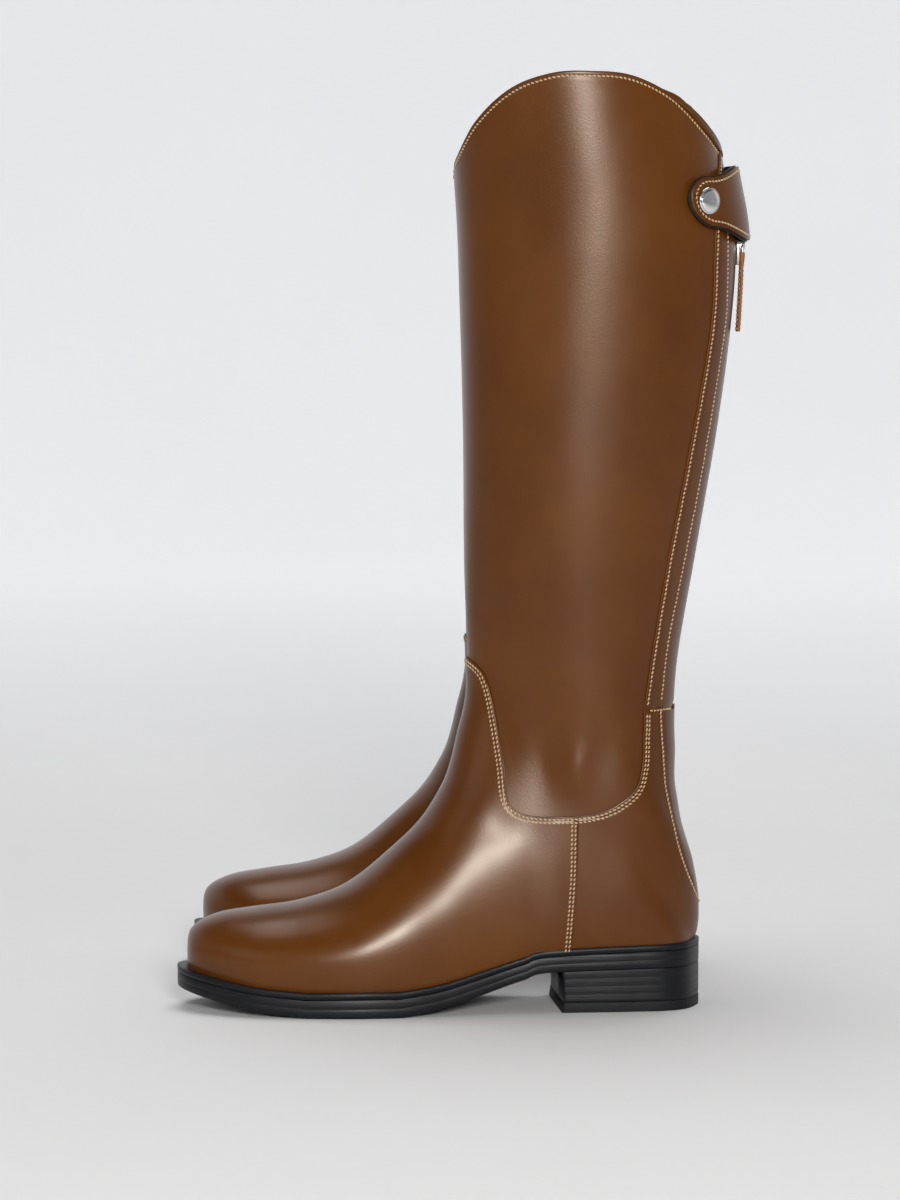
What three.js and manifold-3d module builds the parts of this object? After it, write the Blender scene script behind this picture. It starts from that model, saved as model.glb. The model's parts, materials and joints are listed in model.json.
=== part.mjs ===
// A pair of knee-high riding boots: stacked heel, welted sole, vamp and quarters sewn over
// the shaft, and a full-length zip down the back under a snap strap.
// Millimetres, +Z up. Each boot is modelled in its own frame, toe towards -Y, on z = 0, with
// its outer side at +X; the pair stands on the floor, mirrored about the plane X = 0.
import * as THREE from 'three';
import { mergeVertices } from 'three/addons/utils/BufferGeometryUtils.js';
import Module from 'manifold-3d';

const wasm = await Module();
wasm.setup();

// ---------------------------------------------------------------- driving dimensions
const SOLE_LENGTH = 280;        // outsole, heel to toe
const BOOT_HEIGHT = 495;        // floor to the highest point of the top line
const WIDTH = 100.6;            // outsole across the ball
const BOOT_SPACING = 168;       // centre to centre
const TOE_OUT = 3;              // degrees that each toe points outwards

const GAP = 0.3;                // clearance between pieces that touch
const PANEL = 1.6;              // shaft leather, also the stiffeners' depth
const UPPER = 1.5;              // vamp, quarter and placket leather
const LINING = 1.0;
const UNDERLAP = 9;             // how far the shaft runs on under the pieces sewn over it

const HEEL_TOP_PIECE = 5.5;
const HEEL_BLOCK = 15.6;
const TOE_SPRING = 12;          // toe end of the outsole above the floor
const SOLE_EDGE = 12;           // outsole and welt together at the waist
const WELT = 3.4;
const WELT_STAND_TOE = 6.4;     // how far the welt stands out of the upper
const WELT_STAND_HEEL = 4.2;
const WELT_WIDTH = 11;
const INSOLE = 2.4;
const SOCK = 1.6;
const SHANK = [15, 1.2, 86];    // width, thickness, length

const ZIP_GAP = 3.2;            // placket edge to the zip's middle
const TAPE_WIDTH = 12;
const TAPE_IN = 1;              // tape edge to the zip's middle
const TAPE = 0.6;
const TEETH_WIDTH = 4.8;
const GUARD_WIDTH = 30;
const SLIDER_STAND = 1.4;       // slider off the plackets when closed; it runs down an arc

const STRAP = 1.8;
const STRAP_LINING = 1.0;
const STRAP_STAND = 3.9;        // strap lining off the boot at the back
const SNAP_CAP = 14;            // diameter
const SNAP_STUD = 8;
const PULL_TAB = [9, 2.6, 42];  // leather tab: width, thickness, length

// ---------------------------------------------------------------- colours
const brown = (name) => finish(name, 0x643c1c, 0.42, 0);
const finish = (name, color, roughness, metalness) =>
  new THREE.MeshStandardMaterial({ name, color, roughness, metalness });
const leather = brown('brown_leather');
const backing = finish('black_backing', 0x17130f, 0.7, 0);
const liningLeather = finish('tan_lining', 0xb98b5a, 0.7, 0);
const tabLeather = finish('tan_tab_leather', 0x9a5a2e, 0.5, 0);
const soleBlack = finish('black_sole', 0x17181b, 0.45, 0);
const boardTan = finish('insole_board', 0xa58458, 0.9, 0);
const cork = finish('cork', 0xa9794a, 0.95, 0);
const steel = finish('spring_steel', 0x8f9297, 0.35, 1);
const silver = finish('polished_metal', 0xd6d7d8, 0.15, 1);
const tapeCloth = finish('zip_tape', 0x4a2f1b, 0.85, 0);
const stiffener = finish('stiffener', 0xc9b795, 0.85, 0);

// ---------------------------------------------------------------- side-view curves
// Curves are drawn in the side view, [y, z], for a 280 x 495 mm boot. fit() stretches the
// length everywhere and the height above the ankle.
const ANKLE = 140;
const lengthScale = SOLE_LENGTH / 280;
const heightScale = (BOOT_HEIGHT - ANKLE) / (495 - ANKLE);
const widthScale = WIDTH / 100.6;
const fitZ = (z) => (z < ANKLE ? z : ANKLE + (z - ANKLE) * heightScale);
const fit = ([y, z]) => new THREE.Vector2(y * lengthScale, fitZ(z));

function spline(points, steps) {
  return new THREE.SplineCurve(points.map(fit)).getPoints(steps);
}

function heightAt(line, y) {
  const last = line.length - 1;
  if (y <= line[0].x) return line[0].y;
  if (y >= line[last].x) return line[last].y;
  const i = line.findIndex((p) => p.x > y);
  const t = (y - line[i - 1].x) / (line[i].x - line[i - 1].x);
  return THREE.MathUtils.lerp(line[i - 1].y, line[i].y, t);
}

const HEEL_SEAT = HEEL_TOP_PIECE + HEEL_BLOCK + 2 * GAP;
const BREAST = 61;              // heel breast
const treadLine = [
  ...spline([[-146, TOE_SPRING + 1.6], [-125, TOE_SPRING - 3.6], [-98, 3], [-72, 0]], 7),
  ...spline([[-22, 0], [0, 4], [22, HEEL_SEAT * 0.5], [43, HEEL_SEAT - 4], [BREAST, HEEL_SEAT],
    [146, HEEL_SEAT + 1.6]], 12),
];
const edgeLine = spline([[-146, -1.4], [-100, 0.6], [-30, 1.8], [43, 0], [100, 0.4], [146, 0.9]], 14);
const treadAt = (y) => heightAt(treadLine, y);
const weltTopAt = (y) => treadAt(y) + SOLE_EDGE + heightAt(edgeLine, y);
const alongSole = Array.from({ length: 19 }, (_, i) => (-146 + (i * 292) / 18) * lengthScale);

// U-shaped seam: the vamp and quarters end here, over the shaft.
const U_FRONT = [[11, 188], [15.7, 186], [20.7, 182], [24.4, 176], [28.6, 160], [32.6, 134],
  [35, 113], [41, 106.5], [52, 104.3], [72, 104.4]];
const U_REAR = [[72, 104.4], [84, 106.6], [95, 112], [103, 119.5], [106, 131], [106.5, 145],
  [107, 161]];
const SIDE_SEAM = [[72, 104.4], [71, 70], [68, 26]];
const PLACKET_EDGE = [[107, 161], [110.6, 186], [119.8, 242], [131, 300], [141.4, 360],
  [143.4, 400], [144.6, 425], [149, 460]];
const STAY_EDGE = [[116, 161], [118, 130], [121.4, 106], [128.4, 80], [138.6, 54]];
const CROSS_SEAM = 161;
const TOP_OUTER = [[6, 444], [16.4, 468], [34.5, 486], [56, 494], [76, 495], [98, 493],
  [120, 483], [138, 466], [150, 451]];
const TOP_INNER = [[6, 444], [18, 456], [40, 467], [76, 471], [110, 468], [134, 459], [150, 451]];

const uFront = spline(U_FRONT, 16);
const uRear = spline(U_REAR, 11);
const sideSeam = spline(SIDE_SEAM, 5);
const placketEdge = spline(PLACKET_EDGE, 13);
const stayEdge = spline(STAY_EDGE, 8);
const topOuter = spline(TOP_OUTER, 14);
const topInner = spline(TOP_INNER, 14);

function shiftLine(line, distance) {
  return line.map((p, i) => {
    const a = line[Math.max(i - 1, 0)];
    const b = line[Math.min(i + 1, line.length - 1)];
    const along = b.clone().sub(a).normalize();
    return new THREE.Vector2(p.x + along.y * distance, p.y - along.x * distance);
  });
}

// ---------------------------------------------------------------- the last
// Sections fan round the boot: each one stands on a back or bottom point and reaches a front
// or top point. Columns: back y, z (null = on the feather line), front y, z, half-width at the
// bottom, greatest half-width, where it lies (share of the way up), sideways shift.
const LAST = [
  [-133.2, null, -133.3, 32, 36.5, 37.5, 0.42, -6.5],
  [-128, null, -131, 41.5, 36.5, 37.5, 0.42, -6.3],
  [-115, null, -118, 48.3, 37.5, 38.5, 0.4, -5.4],
  [-95, null, -98, 51.8, 41, 42.5, 0.38, -3],
  [-70, null, -74, 55.6, 43.6, 46, 0.36, -0.5],
  [-45, null, -49, 64.8, 44, 46.6, 0.33, 1.5],
  [-20, null, -25, 84, 40.5, 44, 0.3, 2.8],
  [5, null, -7, 102.5, 35.5, 40.5, 0.28, 3],
  [35, null, 5, 126, 30.5, 37, 0.28, 2.4],
  [70, null, 12.5, 152, 29, 35, 0.3, 1.2],
  [100, null, 15, 172, 28, 34, 0.36, 0.4],
  [123, null, 15, 188, 24, 34, 0.42, 0],
  [135.2, 35, 14.6, 202, 8, 34.6, 0.46, 0],
  [138.2, 52, 14.1, 216, 4.6, 35.6, 0.48, 0],
  [134.8, 76, 13.8, 232, 4.2, 37, 0.5, 0],
  [127.3, 102, 13.6, 250, 4.2, 38.6, 0.5, 0],
  [124.2, 135, 13.5, 270, 4.2, 40.6, 0.5, 0],
  [125.8, 182, 13.2, 300, 4.2, 44.5, 0.5, 0],
  [135.4, 240, 12.4, 336, 4.2, 48.6, 0.5, 0],
  [147, 308, 11.2, 376, 4.2, 51.4, 0.5, 0],
  [154.4, 365, 10, 412, 4.2, 52.6, 0.5, 0],
  [156.4, 408, 8.3, 440, 4.2, 53, 0.5, 0],
  [150, 447, 6.8, 462, 4.2, 53.4, 0.5, 0],
  [140, 504, 4, 506, 4.2, 54, 0.5, 0],
];
const STATIONS = [0, 0.14, 0.45, 1, 2, 3, 4, 5, 6.4, 8, 9.5, 11, 12, 13, 14, 15, 16.2, 17.4, 18.6,
  20, 21.4, 23];
const TOE_ROUND = 38.4;         // length over which the toe rounds off in plan
const LOWER_STEPS = 3;
const UPPER_STEPS = 4;
const ROUND = 0.5523;           // Bezier handle of a quarter ellipse
const FEATHER_DROP = 3;         // the last reaches this far below the welt

function lastRow(index) {
  const row = [...LAST[THREE.MathUtils.clamp(index, 0, LAST.length - 1)]];
  row[0] *= lengthScale;
  row[2] *= lengthScale;
  row[1] = row[1] === null ? weltTopAt(row[0]) - FEATHER_DROP : fitZ(row[1]);
  row[3] = fitZ(row[3]);
  return row;
}

function catmull(a, b, c, d, t) {
  return 0.5 * (2 * b + (c - a) * t + (2 * a - 5 * b + 4 * c - d) * t * t
    + (3 * b - a - 3 * c + d) * t * t * t);
}

function sectionAt(s) {
  const i = Math.min(Math.floor(s), LAST.length - 2);
  const rows = [i - 1, i, i + 1, i + 2].map(lastRow);
  const [by, bz, fy, fz, foot, wide, share, shift] =
    rows[0].map((_, k) => catmull(rows[0][k], rows[1][k], rows[2][k], rows[3][k], s - i));
  const behind = (LAST[3][0] * lengthScale - by) / (TOE_ROUND * lengthScale);
  const toe = behind > 0 ? Math.sqrt(Math.max(1 - behind * behind, 0.006)) : 1;
  return { by, bz, fy, fz, foot: foot * toe * widthScale, wide: wide * toe * widthScale, share,
    shift: shift * widthScale };
}

function bezier(p, t) {
  const r = 1 - t;
  return r * r * r * p[0] + 3 * r * r * t * p[1] + 3 * r * t * t * p[2] + t * t * t * p[3];
}

function sectionPoint(section, step, side) {
  const { by, bz, fy, fz, foot, wide, share, shift } = section;
  let up;
  let out;
  if (step <= LOWER_STEPS) {
    const t = step / LOWER_STEPS;
    up = bezier([0, 0, share * (1 - ROUND), share], t);
    out = bezier([foot, foot + (wide - foot) * ROUND, wide, wide], t);
  } else {
    const t = (step - LOWER_STEPS) / UPPER_STEPS;
    up = bezier([share, share + (1 - share) * ROUND, 1, 1], t);
    out = bezier([wide, wide, wide * ROUND, 0], t);
  }
  return new THREE.Vector3(shift + side * out, by + (fy - by) * up, bz + (fz - bz) * up);
}

const RING = 2 * (LOWER_STEPS + UPPER_STEPS) + 1;
function ringOf(section) {
  const top = LOWER_STEPS + UPPER_STEPS;
  return Array.from({ length: RING }, (_, j) =>
    (j <= top ? sectionPoint(section, j, 1) : sectionPoint(section, 2 * top - j, -1)));
}
const rings = STATIONS.map((s) => ringOf(sectionAt(s)));

function normalAt(i, j) {
  const before = rings[Math.max(i - 1, 0)][j];
  const after = rings[Math.min(i + 1, rings.length - 1)][j];
  const left = rings[i][Math.max(j - 1, 0)];
  const right = rings[i][Math.min(j + 1, RING - 1)];
  return after.clone().sub(before).cross(right.clone().sub(left)).normalize();
}

// The closed body whose skin lies at this distance outside the last.
function lastBody(offset) {
  const first = offset < 0 ? 1 : 0;
  const grid = rings.slice(first).map((ring, i) =>
    ring.map((p, j) => p.clone().addScaledVector(normalAt(i + first, j), offset)));
  const points = grid.flat();
  const faces = [];
  for (let i = 0; i < grid.length - 1; i++) {
    for (let j = 0; j < RING; j++) {
      const a = i * RING + j;
      const b = i * RING + ((j + 1) % RING);
      faces.push(a, b + RING, b, a, a + RING, b + RING);
    }
  }
  const end = (grid.length - 1) * RING;
  for (let j = 1; j < RING - 1; j++) {
    faces.push(0, j, j + 1, end, end + j + 1, end + j);
  }
  const geometry = new THREE.BufferGeometry().setFromPoints(points);
  geometry.setIndex(faces);
  return solidOf(geometry);
}

// ---------------------------------------------------------------- solids
function solidOf(geometry) {
  const bare = geometry.clone();
  bare.deleteAttribute('normal');
  bare.deleteAttribute('uv');
  const merged = mergeVertices(bare, 1e-4);
  return new wasm.Manifold(new wasm.Mesh({
    numProp: 3,
    vertProperties: new Float32Array(merged.getAttribute('position').array),
    triVerts: new Uint32Array(merged.index.array),
  }));
}

function geometryOf(solid) {
  const mesh = solid.getMesh();
  const geometry = new THREE.BufferGeometry();
  geometry.setAttribute('position', new THREE.BufferAttribute(mesh.vertProperties, 3));
  geometry.setIndex(new THREE.BufferAttribute(mesh.triVerts, 1));
  geometry.computeVertexNormals();
  return geometry;
}

// A side-view outline carried across the boot, from x0 to x1.
function sidePrism(outline, x0, x1) {
  const geometry = new THREE.ExtrudeGeometry(new THREE.Shape(outline),
    { depth: x1 - x0, bevelEnabled: false });
  const basis = new THREE.Matrix4().makeBasis(new THREE.Vector3(0, 1, 0),
    new THREE.Vector3(0, 0, 1), new THREE.Vector3(1, 0, 0));
  geometry.applyMatrix4(basis.setPosition(x0, 0, 0));
  return solidOf(geometry);
}

// A plan outline carried straight up, from z0 to z1.
function planPrism(outline, z0, z1) {
  const geometry = new THREE.ExtrudeGeometry(new THREE.Shape(outline),
    { depth: z1 - z0, bevelEnabled: false });
  return solidOf(geometry.translate(0, 0, z0));
}

const at = (y, z) => new THREE.Vector2(y, z);
const FAR = 120;                // beyond the boot on either side
const FRONT = -160 * lengthScale;
const BACK = 190 * lengthScale;
const OVER = BOOT_HEIGHT + 20;
const shell = (inner, outer) => lastBody(outer).subtract(lastBody(inner));

const upperStart = GAP;
const upperEnd = GAP + UPPER;
const liningOuter = -(PANEL + GAP);
const liningInner = liningOuter - LINING;
const upperShell = shell(upperStart, upperEnd);
const panelShell = shell(-PANEL, 0);
const liningShell = shell(liningInner, liningOuter);

const featherLine = alongSole.map((y) => at(y, weltTopAt(y) + GAP));
const aboveWelt = (from, to) => [
  at(from, weltTopAt(from) + GAP),
  ...featherLine.filter((p) => p.x > from && p.x < to),
  at(to, weltTopAt(to) + GAP),
];

// ---------------------------------------------------------------- upper
const seamFoot = sideSeam[sideSeam.length - 1].x;
const seamDown = (shift) => shiftLine(sideSeam, shift).slice(0, -1)
  .filter((p) => p.y < uRear[0].y - 2 && p.y > weltTopAt(seamFoot) + 4);
const vampOutline = [
  ...aboveWelt(FRONT, seamFoot - GAP / 2),
  ...seamDown(GAP / 2).reverse(),
  ...[...uFront].reverse(),
  at(FRONT, fitZ(190)),
];
const vamp = upperShell.intersect(sidePrism(vampOutline, -FAR, FAR));

const quarterOutline = [
  ...seamDown(-GAP / 2),
  ...aboveWelt(seamFoot + GAP / 2, BACK),
  at(BACK, fitZ(54)),
  ...shiftLine(stayEdge, GAP / 2).reverse(),
  ...[...uRear].reverse().slice(0, -1),
  at(uRear[0].x + GAP, uRear[0].y),
];
const quarter = (x0, x1) => upperShell.intersect(sidePrism(quarterOutline, x0, x1));

const stayOutline = [...shiftLine(stayEdge, -GAP / 2), at(BACK, fitZ(54)), at(BACK, fitZ(CROSS_SEAM))];
const backStay = upperShell.intersect(sidePrism(stayOutline, -FAR, FAR));

const belowTop = (top, from) => [...top].reverse().filter((p) => p.x < from);
function placket(side) {
  const top = side > 0 ? topOuter : topInner;
  const last = placketEdge.filter((p) => p.y < heightAt(top, p.x));
  const outline = [
    at(BACK, fitZ(CROSS_SEAM) + GAP), at(BACK, top[top.length - 1].y), top[top.length - 1],
    ...belowTop(top, top[top.length - 1].x - 1).filter((p) => p.x > last[last.length - 1].x + 2),
    at(last[last.length - 1].x, heightAt(top, last[last.length - 1].x)),
    ...last.reverse().slice(0, -1), at(placketEdge[0].x, placketEdge[0].y + GAP),
  ];
  const [x0, x1] = side > 0 ? [ZIP_GAP, FAR] : [-FAR, -ZIP_GAP];
  return upperShell.intersect(sidePrism(outline, x0, x1));
}

function shaftHalf(side) {
  const top = side > 0 ? topOuter : topInner;
  const under = shiftLine([...uFront, ...uRear.slice(1)], UNDERLAP);
  const back = shiftLine(placketEdge, UNDERLAP).filter((p) => p.y < heightAt(top, p.x));
  const outline = [
    at(-20, under[0].y), ...under.filter((p) => p.x > 6), ...back.slice(1),
    ...belowTop(top, back[back.length - 1].x - 1), at(-20, top[0].y),
  ];
  const [x0, x1] = side > 0 ? [0, FAR] : [-FAR, 0.001];
  return panelShell.intersect(sidePrism(outline, x0, x1));
}

function liningHalf(side) {
  const top = side > 0 ? topOuter : topInner;
  const outline = [...aboveWelt(FRONT, BACK), at(BACK, top[top.length - 1].y),
    ...[...top].reverse(), at(FRONT, top[0].y)];
  const [x0, x1] = side > 0 ? [0, FAR] : [-FAR, 0.001];
  return liningShell.intersect(sidePrism(outline, x0, x1));
}
const zipBand = [at(90, fitZ(CROSS_SEAM) + 2), at(BACK, fitZ(CROSS_SEAM) + 2), at(BACK, OVER),
  at(90, OVER)];
const lining = liningHalf(1).add(liningHalf(-1)).subtract(sidePrism(zipBand, -ZIP_GAP, ZIP_GAP));
const tapeEdge = TAPE_IN + TAPE_WIDTH + GAP;
const tapeBand = [at(90, fitZ(150)), at(BACK, fitZ(150)), at(BACK, OVER), at(90, OVER)];
const shaftPanel = shaftHalf(1).add(shaftHalf(-1))
  .subtract(sidePrism(tapeBand, -tapeEdge, tapeEdge));

const puffOutline = [...aboveWelt(FRONT, -92 * lengthScale), at(-84 * lengthScale, 70),
  at(FRONT, 70)];
const toePuff = panelShell.intersect(sidePrism(puffOutline, -FAR, FAR));
const counterOutline = [...aboveWelt(78 * lengthScale, BACK), at(BACK, 84),
  ...spline([[128, 84], [106, 74], [86, 56], [78, 44]], 6)];
const heelCounter = panelShell.intersect(sidePrism(counterOutline, -FAR, FAR));

// ---------------------------------------------------------------- sole
const featherHalf = (side) => STATIONS.filter((s) => s <= 12).map((s) => {
  const section = sectionAt(s);
  return at(section.shift + side * section.foot, section.by);
});
function soleOutline(inset) {
  const loop = [...featherHalf(1), at(0, 136.6 * lengthScale), ...featherHalf(-1).reverse()];
  return loop.map((p, i) => {
    const a = loop[(i + loop.length - 1) % loop.length];
    const b = loop[(i + 1) % loop.length];
    const along = b.clone().sub(a).normalize();
    const share = THREE.MathUtils.smoothstep(p.y, -40 * lengthScale, 90 * lengthScale);
    const stand = THREE.MathUtils.lerp(WELT_STAND_TOE, WELT_STAND_HEEL, share) - inset;
    return at(p.x + along.y * stand, p.y - along.x * stand);
  });
}
// The part of a plan outline between two heights given along the boot.
function layer(outline, low, high, stops = alongSole) {
  const band = [...stops.map((y) => at(y, low(y))),
    ...[...stops].reverse().map((y) => at(y, high(y)))];
  return planPrism(outline, -20, 80).intersect(sidePrism(band, -FAR, FAR));
}
const weltBottomAt = (y) => weltTopAt(y) - WELT;
const outsole = layer(soleOutline(0), treadAt, (y) => weltBottomAt(y) - GAP);
const welt = layer(soleOutline(0), weltBottomAt, weltTopAt)
  .subtract(planPrism(soleOutline(WELT_WIDTH), -20, 80));
const shankPlan = (grow) => {
  const [width, , length] = SHANK;
  const x = width / 2 + grow;
  return [at(-x + 1, 2 - grow), at(x + 1, 2 - grow), at(x + 1, 2 + length + grow),
    at(-x + 1, 2 + length + grow)];
};
const shank = layer(shankPlan(0), (y) => weltTopAt(y) - SHANK[1], weltTopAt);
const corkFiller = layer(soleOutline(WELT_WIDTH + GAP), weltBottomAt, weltTopAt)
  .subtract(layer(shankPlan(GAP), (y) => weltTopAt(y) - SHANK[1] - GAP, (y) => weltTopAt(y) + 9));
const insideInset = (extra) => WELT_STAND_TOE + PANEL + LINING + 2 * GAP * lengthScale + extra;
const insoleBoard = layer(soleOutline(insideInset(0)), (y) => weltTopAt(y) + GAP,
  (y) => weltTopAt(y) + GAP + INSOLE);
const sockLiner = layer(soleOutline(insideInset(GAP)), (y) => weltTopAt(y) + 2 * GAP + INSOLE,
  (y) => weltTopAt(y) + 2 * GAP + INSOLE + SOCK);

// The heel stands under the rear of the outsole, with a breast hollowed towards its foot.
const HEEL_INSET = 0.8;
const breast = spline([[BREAST + 2, 0], [BREAST + 3.4, 6], [BREAST + 2, 14], [BREAST - 1, 26]], 6);
const alongHeel = alongSole.filter((y) => y > (BREAST - 20) * lengthScale);
function heelLayer(low, high) {
  const block = layer(soleOutline(HEEL_INSET), low, high, alongHeel);
  return block.intersect(sidePrism([...breast, at(BACK, 26), at(BACK, 0)], -FAR, FAR));
}
const heelTopPiece = heelLayer(() => 0, () => HEEL_TOP_PIECE);
const heelBlock = heelLayer(() => HEEL_TOP_PIECE + GAP, (y) => treadAt(y) - GAP);

// ---------------------------------------------------------------- back zip
const backBand = (z0, z1) => [at(90, fitZ(z0)), at(BACK, fitZ(z0)), at(BACK, fitZ(z1)),
  at(90, fitZ(z1))];
const tapeShell = shell(-PANEL, -PANEL + TAPE);
const zipTape = (x0, x1) => tapeShell.intersect(sidePrism(backBand(164, 447), x0, x1));
const tapeLateral = zipTape(TAPE_IN, TAPE_IN + TAPE_WIDTH);
const tapeMedial = zipTape(-TAPE_IN - TAPE_WIDTH, -TAPE_IN);
const zipTeeth = shell(-PANEL + TAPE + GAP, upperEnd - 0.9)
  .intersect(sidePrism(backBand(165, 444), -TEETH_WIDTH / 2, TEETH_WIDTH / 2));
const guardShell = shell(liningInner - GAP - 1.1, liningInner - GAP);
const zipGuard = guardShell
  .intersect(sidePrism(backBand(168, 444), -GUARD_WIDTH / 2, GUARD_WIDTH / 2));

// Where a column of the last crosses a height, with its level outward normal.
function skinAt(z, column) {
  let i = rings.findIndex((ring, k) => k > 12 && ring[column].z > z);
  i = Math.max(i, 1);
  const [a, b] = [rings[i - 1][column], rings[i][column]];
  return a.clone().lerp(b, (z - a.z) / (b.z - a.z));
}
function contourAt(z, columns) {
  const line = columns.map((j) => skinAt(z, j));
  return line.map((p, i) => {
    const a = line[Math.max(i - 1, 0)];
    const b = line[Math.min(i + 1, line.length - 1)];
    const out = new THREE.Vector3(b.y - a.y, a.x - b.x, 0).normalize();
    return { p, out };
  });
}

// The slider rides on the teeth; the pull hangs from its lug on a cross pin.
const SLIDER_Z = fitZ(401);
const HINGE_Z = fitZ(405);
const backAt = (z) => contourAt(z, [1, 0, RING - 1, RING - 2])[1].p.y;
const sliderFace = backAt(SLIDER_Z) + upperEnd + SLIDER_STAND;
const SLIDER_DEPTH = 1.8;
const sliderShape = [at(-4.6, 6.5), at(-5.4, 2), at(-3.4, -6.5), at(3.4, -6.5), at(5.4, 2),
  at(4.6, 6.5)];
function slab(outline, depth, y, z) {
  const geometry = new THREE.ExtrudeGeometry(new THREE.Shape(outline),
    { depth, bevelEnabled: false });
  const upright = new THREE.Matrix4().makeBasis(new THREE.Vector3(1, 0, 0),
    new THREE.Vector3(0, 0, 1), new THREE.Vector3(0, -1, 0));
  return solidOf(geometry.applyMatrix4(upright).translate(0, y + depth, z));
}
const rectangle = (x0, z0, x1, z1) => [at(x0, z0), at(x1, z0), at(x1, z1), at(x0, z1)];
const [tabWidth, tabDepth, tabLength] = PULL_TAB;
const HINGE_Y = sliderFace + SLIDER_DEPTH + tabDepth / 2 + GAP;
// The slider's lug is an arch; the pull's top bar lies through it and is the hinge pin.
const ARCH = [1.2, 2];          // half opening, half outside
const PIN = 0.65;               // half the bar
const archOutside = rectangle(sliderFace + SLIDER_DEPTH - 0.2, HINGE_Z - ARCH[1],
  HINGE_Y + ARCH[1], HINGE_Z + ARCH[1]);
const archHole = rectangle(HINGE_Y - ARCH[0], HINGE_Z - ARCH[0], HINGE_Y + ARCH[0],
  HINGE_Z + ARCH[0]);
const zipSlider = slab(sliderShape, SLIDER_DEPTH, sliderFace, SLIDER_Z)
  .add(sidePrism(archOutside, -1.2, 1.2).subtract(sidePrism(archHole, -2, 2)));
const LOOP = 7;                 // length of the metal loop under the pin
const zipPull = slab(rectangle(-3.6, -LOOP, 3.6, PIN), 2 * PIN, HINGE_Y - PIN, HINGE_Z)
  .subtract(slab(rectangle(-2, -LOOP + 3, 2, -PIN), 4, HINGE_Y - 2, HINGE_Z));
// The leather tab is folded over the foot of the loop.
const tabTop = -LOOP + 3 + GAP;
const zipPullTab = slab(rectangle(-tabWidth / 2, tabTop - tabLength, tabWidth / 2, tabTop),
  tabDepth, HINGE_Y - tabDepth / 2, HINGE_Z)
  .subtract(slab(rectangle(-3.6 - GAP, -LOOP - GAP, 3.6 + GAP, 0), 2 * PIN + GAP,
    HINGE_Y - PIN - GAP / 2, HINGE_Z));

// ---------------------------------------------------------------- snap strap
// Columns of the last from the outer side round the back to the inner side.
const STRAP_COLUMNS = [3, 2, 1, 0, RING - 1, RING - 2, RING - 3];
const STRAP_REST = upperEnd + 2 * GAP;
function band(inner, outer) {
  const levels = [398, 426, 454].map(fitZ);
  const lines = levels.map((z) => {
    const contour = contourAt(z, STRAP_COLUMNS);
    const middle = (contour.length - 1) / 2;
    const place = (distance) => contour.map(({ p, out }, i) => {
      const stand = STRAP_STAND * Math.cos((Math.abs(i - middle) / middle) * (Math.PI / 2)) ** 0.8;
      return p.clone().addScaledVector(out, STRAP_REST + stand + distance);
    });
    return [...place(inner), ...place(outer).reverse()];
  });
  const count = lines[0].length;
  const half = count / 2;
  const faces = [];
  for (let k = 0; k < levels.length - 1; k++) {
    for (let j = 0; j < count; j++) {
      const a = k * count + j;
      const b = k * count + ((j + 1) % count);
      faces.push(a, b + count, b, a, a + count, b + count);
    }
  }
  const topStart = (levels.length - 1) * count;
  for (let j = 0; j < half - 1; j++) {
    const [a, b, c, d] = [j, j + 1, count - 2 - j, count - 1 - j];
    faces.push(a, b, c, a, c, d);
    faces.push(topStart + a, topStart + c, topStart + b, topStart + a, topStart + d, topStart + c);
  }
  const geometry = new THREE.BufferGeometry().setFromPoints(lines.flat());
  geometry.setIndex(faces);
  return solidOf(geometry);
}
// Side outline: a round end over the snap, widening to the fold behind the boot.
const strapEnd = spline([[147, 442.6], [140, 440.4], [133.4, 436.6], [130.6, 428.6], [132.6, 420.4],
  [139, 414.6], [147, 412.2]], 12);
const strapOuter = [at(BACK, fitZ(404.5)), at(BACK, fitZ(448)), ...strapEnd];
const strapInner = [at(BACK, fitZ(404.5)), at(BACK, fitZ(448)), at(134 * lengthScale, fitZ(440)),
  at(134 * lengthScale, fitZ(414))];
function strapPiece(inner, outer) {
  const body = band(inner, outer);
  return body.intersect(sidePrism(strapOuter, 0, FAR))
    .add(body.intersect(sidePrism(strapInner, -FAR, 0.001)));
}
const strapLining = strapPiece(0, STRAP_LINING);
const strap = strapPiece(STRAP_LINING + 2 * GAP, STRAP_LINING + 2 * GAP + STRAP);

// The snap: stud on the shaft, cap on the strap, both square to the leather.
const SNAP_Y = 134 * lengthScale;
const SNAP_Z = fitZ(428);
function snapFrame() {
  const contour = contourAt(SNAP_Z, [4, 3, 2, 1]);
  const i = contour.findIndex(({ p }) => p.y > SNAP_Y);
  const [a, b] = [contour[i - 1], contour[i]];
  const t = (SNAP_Y - a.p.y) / (b.p.y - a.p.y);
  const strapStand = STRAP_STAND * Math.cos((Math.min(5 - i - t, 3) / 3) * (Math.PI / 2)) ** 0.8;
  return { foot: a.p.clone().lerp(b.p, t), out: b.p.clone().sub(a.p).cross(
    new THREE.Vector3(0, 0, 1)).setZ(0).normalize(), strapStand };
}
function turned(profile, distance) {
  const { foot, out } = snapFrame();
  const outline = profile.map(([r, h]) => at(r, h));
  const geometry = new THREE.LatheGeometry(outline, 14);
  const turn = new THREE.Quaternion().setFromUnitVectors(new THREE.Vector3(0, 1, 0), out);
  geometry.applyQuaternion(turn);
  const place = foot.addScaledVector(out, distance);
  return geometry.translate(place.x, place.y, place.z);
}
const { strapStand } = snapFrame();
const studTop = STRAP_REST + strapStand - 3 * GAP;
const capFoot = STRAP_REST + strapStand + STRAP_LINING + STRAP + 3 * GAP;
const studRadius = SNAP_STUD / 2;
const capRadius = SNAP_CAP / 2;
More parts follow.
